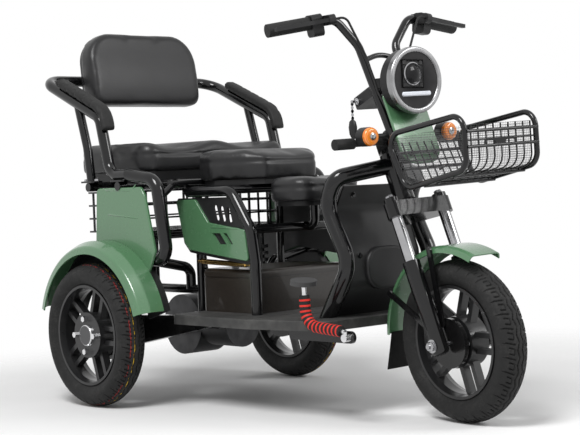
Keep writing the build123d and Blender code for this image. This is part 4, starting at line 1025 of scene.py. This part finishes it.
# Bolts: washer and hexagon of head radius 1, then place, direction and head radius of each by group
WASHER = ((1.35, 0), (1.35, 0.12), (1.0, 0.13))
HEXAGON = ((1.0, 0.1), (1.0, 0.75), (0.82, 0.95))
BOLT = ((WASHER, 20), (HEXAGON, 6))
SIDES = (-1, 1)
SHIELD_BOLTS = (
    ((0.7712, 0.0851, 0.5702), Vector((0.88, 0, -0.48))),
    ((0.7922, 0.0898, 0.4146), Vector((1, 0, 0.08))),
)
HUB_BOLTS = 5
HUB_BOLT_RING = 0.05
HUB_BOLT_OUT = 0.0277
BOLTS = {
    "steering": [(bar(0, side * 0.1005, 0), HUB_AXIS * side, 0.0125) for side in SIDES]
    + [(fork_point(0, side * 0.08, 0.386), STEM_UP, 0.011) for side in SIDES]
    + [(fork_point(0.045, side * 0.048, 0.526), -STEM_UP, 0.009) for side in SIDES],
    "frame": [
        (spot(x, side * 0.318, 0.6335), UP, 0.0065) for x in (-0.088, -0.036, 0.106) for side in SIDES
    ]
    + [(spot(0.33, side * 0.2285, 0.239), LEFT * side, 0.011) for side in SIDES],
    "shield": [
        (spot(x, side * y, z), way, 0.006) for side in SIDES for (x, y, z), way in SHIELD_BOLTS
    ],
    "front_wheel": [
        (HUB - HUB_AXIS * HUB_BOLT_OUT + Vector((cos(a), 0, sin(a))) * HUB_BOLT_RING, -HUB_AXIS, 0.0055)
        for a in (2 * pi * k / HUB_BOLTS for k in range(HUB_BOLTS))
    ],
}


# Raised creases on the green panels: x and z of both ends, and how far out the panel stands
CREASES = (
    ((0.0136, 0.6069), (0.1457, 0.6019), 0.33),
    ((0.1457, 0.6019), (0.166, 0.62), 0.33),
    ((0.0212, 0.5387), (0.18, 0.5254), 0.33),
    ((0.317, 0.4947), (0.447, 0.4895), 0.199),
)
CREASE_R = 0.0032
CREASE_THIN = CREASE_R * 0.8
CREASE_TIP = 0.0006
CREASE_END = 0.012
CREASE_DEEP = 0.0017


def creases():
    forms = []
    for (x0, z0), (x1, z1), out in CREASES:
        run = Vector((x1 - x0, 0, z1 - z0))
        long = run.length
        far_end = (CREASE_THIN, long - CREASE_END), (CREASE_TIP, long)
        profile = ((CREASE_TIP, 0), (CREASE_R, CREASE_END), *far_end)
        forms += [(profile, spot(x0, side * (out - CREASE_DEEP), z0), run, 16) for side in SIDES]
    turned("panel_creases", forms, "frame", "green_body")


# Slotted plate on the basket's front
PLATE_AT = (0.1826, -0.005, 0.484)
PLATE = (0.104, 0.02)
SLOT = (0.03, 0.009)
SLOT_OUT = (PLATE[0] - SLOT[0]) / 2 * 0.86
PLATE_THICK = 0.002


def stadium(shape, centre, size, steps=8):
    """Closed loop of edges round a slot shape in the basket's front plane."""
    ahead, across, up = PLATE_AT
    radius = size[1] / 2
    half = (size[0] - size[1]) / 2
    ring = []
    for step in range(2 * steps + 2):
        end = 1 if step <= steps else -1
        angle = -pi / 2 + pi * (step if end == 1 else step - 1) / steps
        side = centre + end * half + radius * cos(angle)
        ring.append(shape.verts.new(bar(ahead, across + side, up + radius * sin(angle))))
    return [shape.edges.new((ring[k], ring[(k + 1) % len(ring)])) for k in range(len(ring))]


def basket_plate():
    shape = bmesh.new()
    edges = stadium(shape, 0, PLATE)
    for side in SIDES:
        edges += stadium(shape, side * SLOT_OUT, SLOT)
    bmesh.ops.triangle_fill(shape, use_beauty=True, edges=edges)
    bmesh.ops.recalc_face_normals(shape, faces=shape.faces[:])
    bmesh.ops.solidify(shape, geom=shape.faces[:], thickness=PLATE_THICK)
    piece("basket_plate", finished(shape, "basket_plate"), "steering", "black_tube")


# Rod behind the side cover, from the rear post to the loop's leg
ROD_REAR = spot(0.222, -0.163, 0.398)
ROD_RUN = spot(0.482, -0.1865, 0.392) - ROD_REAR
ROD = (
    (0.004, 0), (0.0042, 0.02), (0.0075, 0.021), (0.0075, ROD_RUN.length - 0.03),
    (0.0045, ROD_RUN.length - 0.028), (0.0045, ROD_RUN.length),
)

turned("lamp_bezel", [(BEZEL, LAMP_EYE, LAMP_AXIS, 40)], "steering", "bright_steel")
lamp_housing()
turned("lamp_projector", [(PROJECTOR, LAMP_EYE, LAMP_AXIS, 40)], "steering", "clear_lens")
lamp_bar()
turned("signal_centres", [(SIGNAL_CENTRE, at, LAMP_AXIS, 24) for at in SIGNALS], "steering", "bright_steel")
key_set()
foam_rings()
basket_net()
front_flap()
for group, rows in BOLTS.items():
    dark = group == "shield"
    stood(f"{group}_bolts", BOLT, rows, "frame" if dark else group, "black_tube" if dark else "bright_steel")
creases()
basket_plate()
turned("seat_rod", [(ROD, ROD_REAR, ROD_RUN, 20)], "frame", "bright_steel", BRASS)

# Camera solved from the photograph with the wheel ellipses
YAW, PITCH, ROLL = radians(138.47), radians(1.45), radians(-2.31)
EYE = spot(3.601, -2.81, 0.618)
LENS = 95.2
SENSOR = 36


def photo_camera():
    view = Vector((cos(PITCH) * cos(YAW), cos(PITCH) * sin(YAW), -sin(PITCH)))
    level = Vector((sin(YAW), -cos(YAW), 0))
    above = level.cross(view)
    right = level * cos(ROLL) + above * sin(ROLL)
    top = above * cos(ROLL) - level * sin(ROLL)
    camera = bpy.data.objects.new("camera", bpy.data.cameras.new("camera"))
    scene.collection.objects.link(camera)
    camera.data.sensor_width = SENSOR
    camera.data.lens = LENS
    camera.matrix_world = Matrix.Translation(EYE) @ Matrix((right, top, -view)).transposed().to_4x4()
    scene.camera = camera


# Studio: white surround, pale floor and two large soft lights, each with place, size and power
SURROUND_LIGHT = 0.42
FLOOR_HALF = 20
LIGHT_AIM = Vector((0, 0, 0.5))
LIGHTS = (("key", (1.2, -2.6, 3.8), 1.5, 150), ("fill", (3.6, 1.8, 2.6), 1.5, 70))


def surround():
    """World that is white to the camera and in reflections, and lights the object more softly."""
    scene.world = bpy.data.worlds.new("studio")
    scene.world.use_nodes = True
    sky = scene.world.node_tree
    rays = add_node(sky, "ShaderNodeLightPath")
    seen = Sock(sky, rays.outputs["Is Camera Ray"])
    for kind in ("Is Glossy Ray", "Is Transmission Ray"):
        seen = seen.math("MAXIMUM", Sock(sky, rays.outputs[kind]))
    background = sky.nodes["Background"]
    background.inputs["Color"].default_value = (1, 1, 1, 1)
    sky.links.new(seen.between(SURROUND_LIGHT, 1.0).socket, background.inputs["Strength"])


def studio():
    scene.view_settings.view_transform = "Standard"
    surround()
    ground = bpy.data.meshes.new("floor")
    corners = [(x * FLOOR_HALF, y * FLOOR_HALF, 0) for x, y in ((-1, -1), (1, -1), (1, 1), (-1, 1))]
    ground.from_pydata(corners, [], [(0, 1, 2, 3)])
    ground.materials.append(studio_floor())
    floor = bpy.data.objects.new("floor", ground)
    scene.collection.objects.link(floor)
    for name, place, size, power in LIGHTS:
        light = bpy.data.lights.new(name, "AREA")
        light.size = size
        light.energy = power
        lamp = bpy.data.objects.new(name, light)
        scene.collection.objects.link(lamp)
        lamp.location = place
        lamp.rotation_euler = (LIGHT_AIM - Vector(place)).to_track_quat("-Z", "Y").to_euler()


photo_camera()
studio()
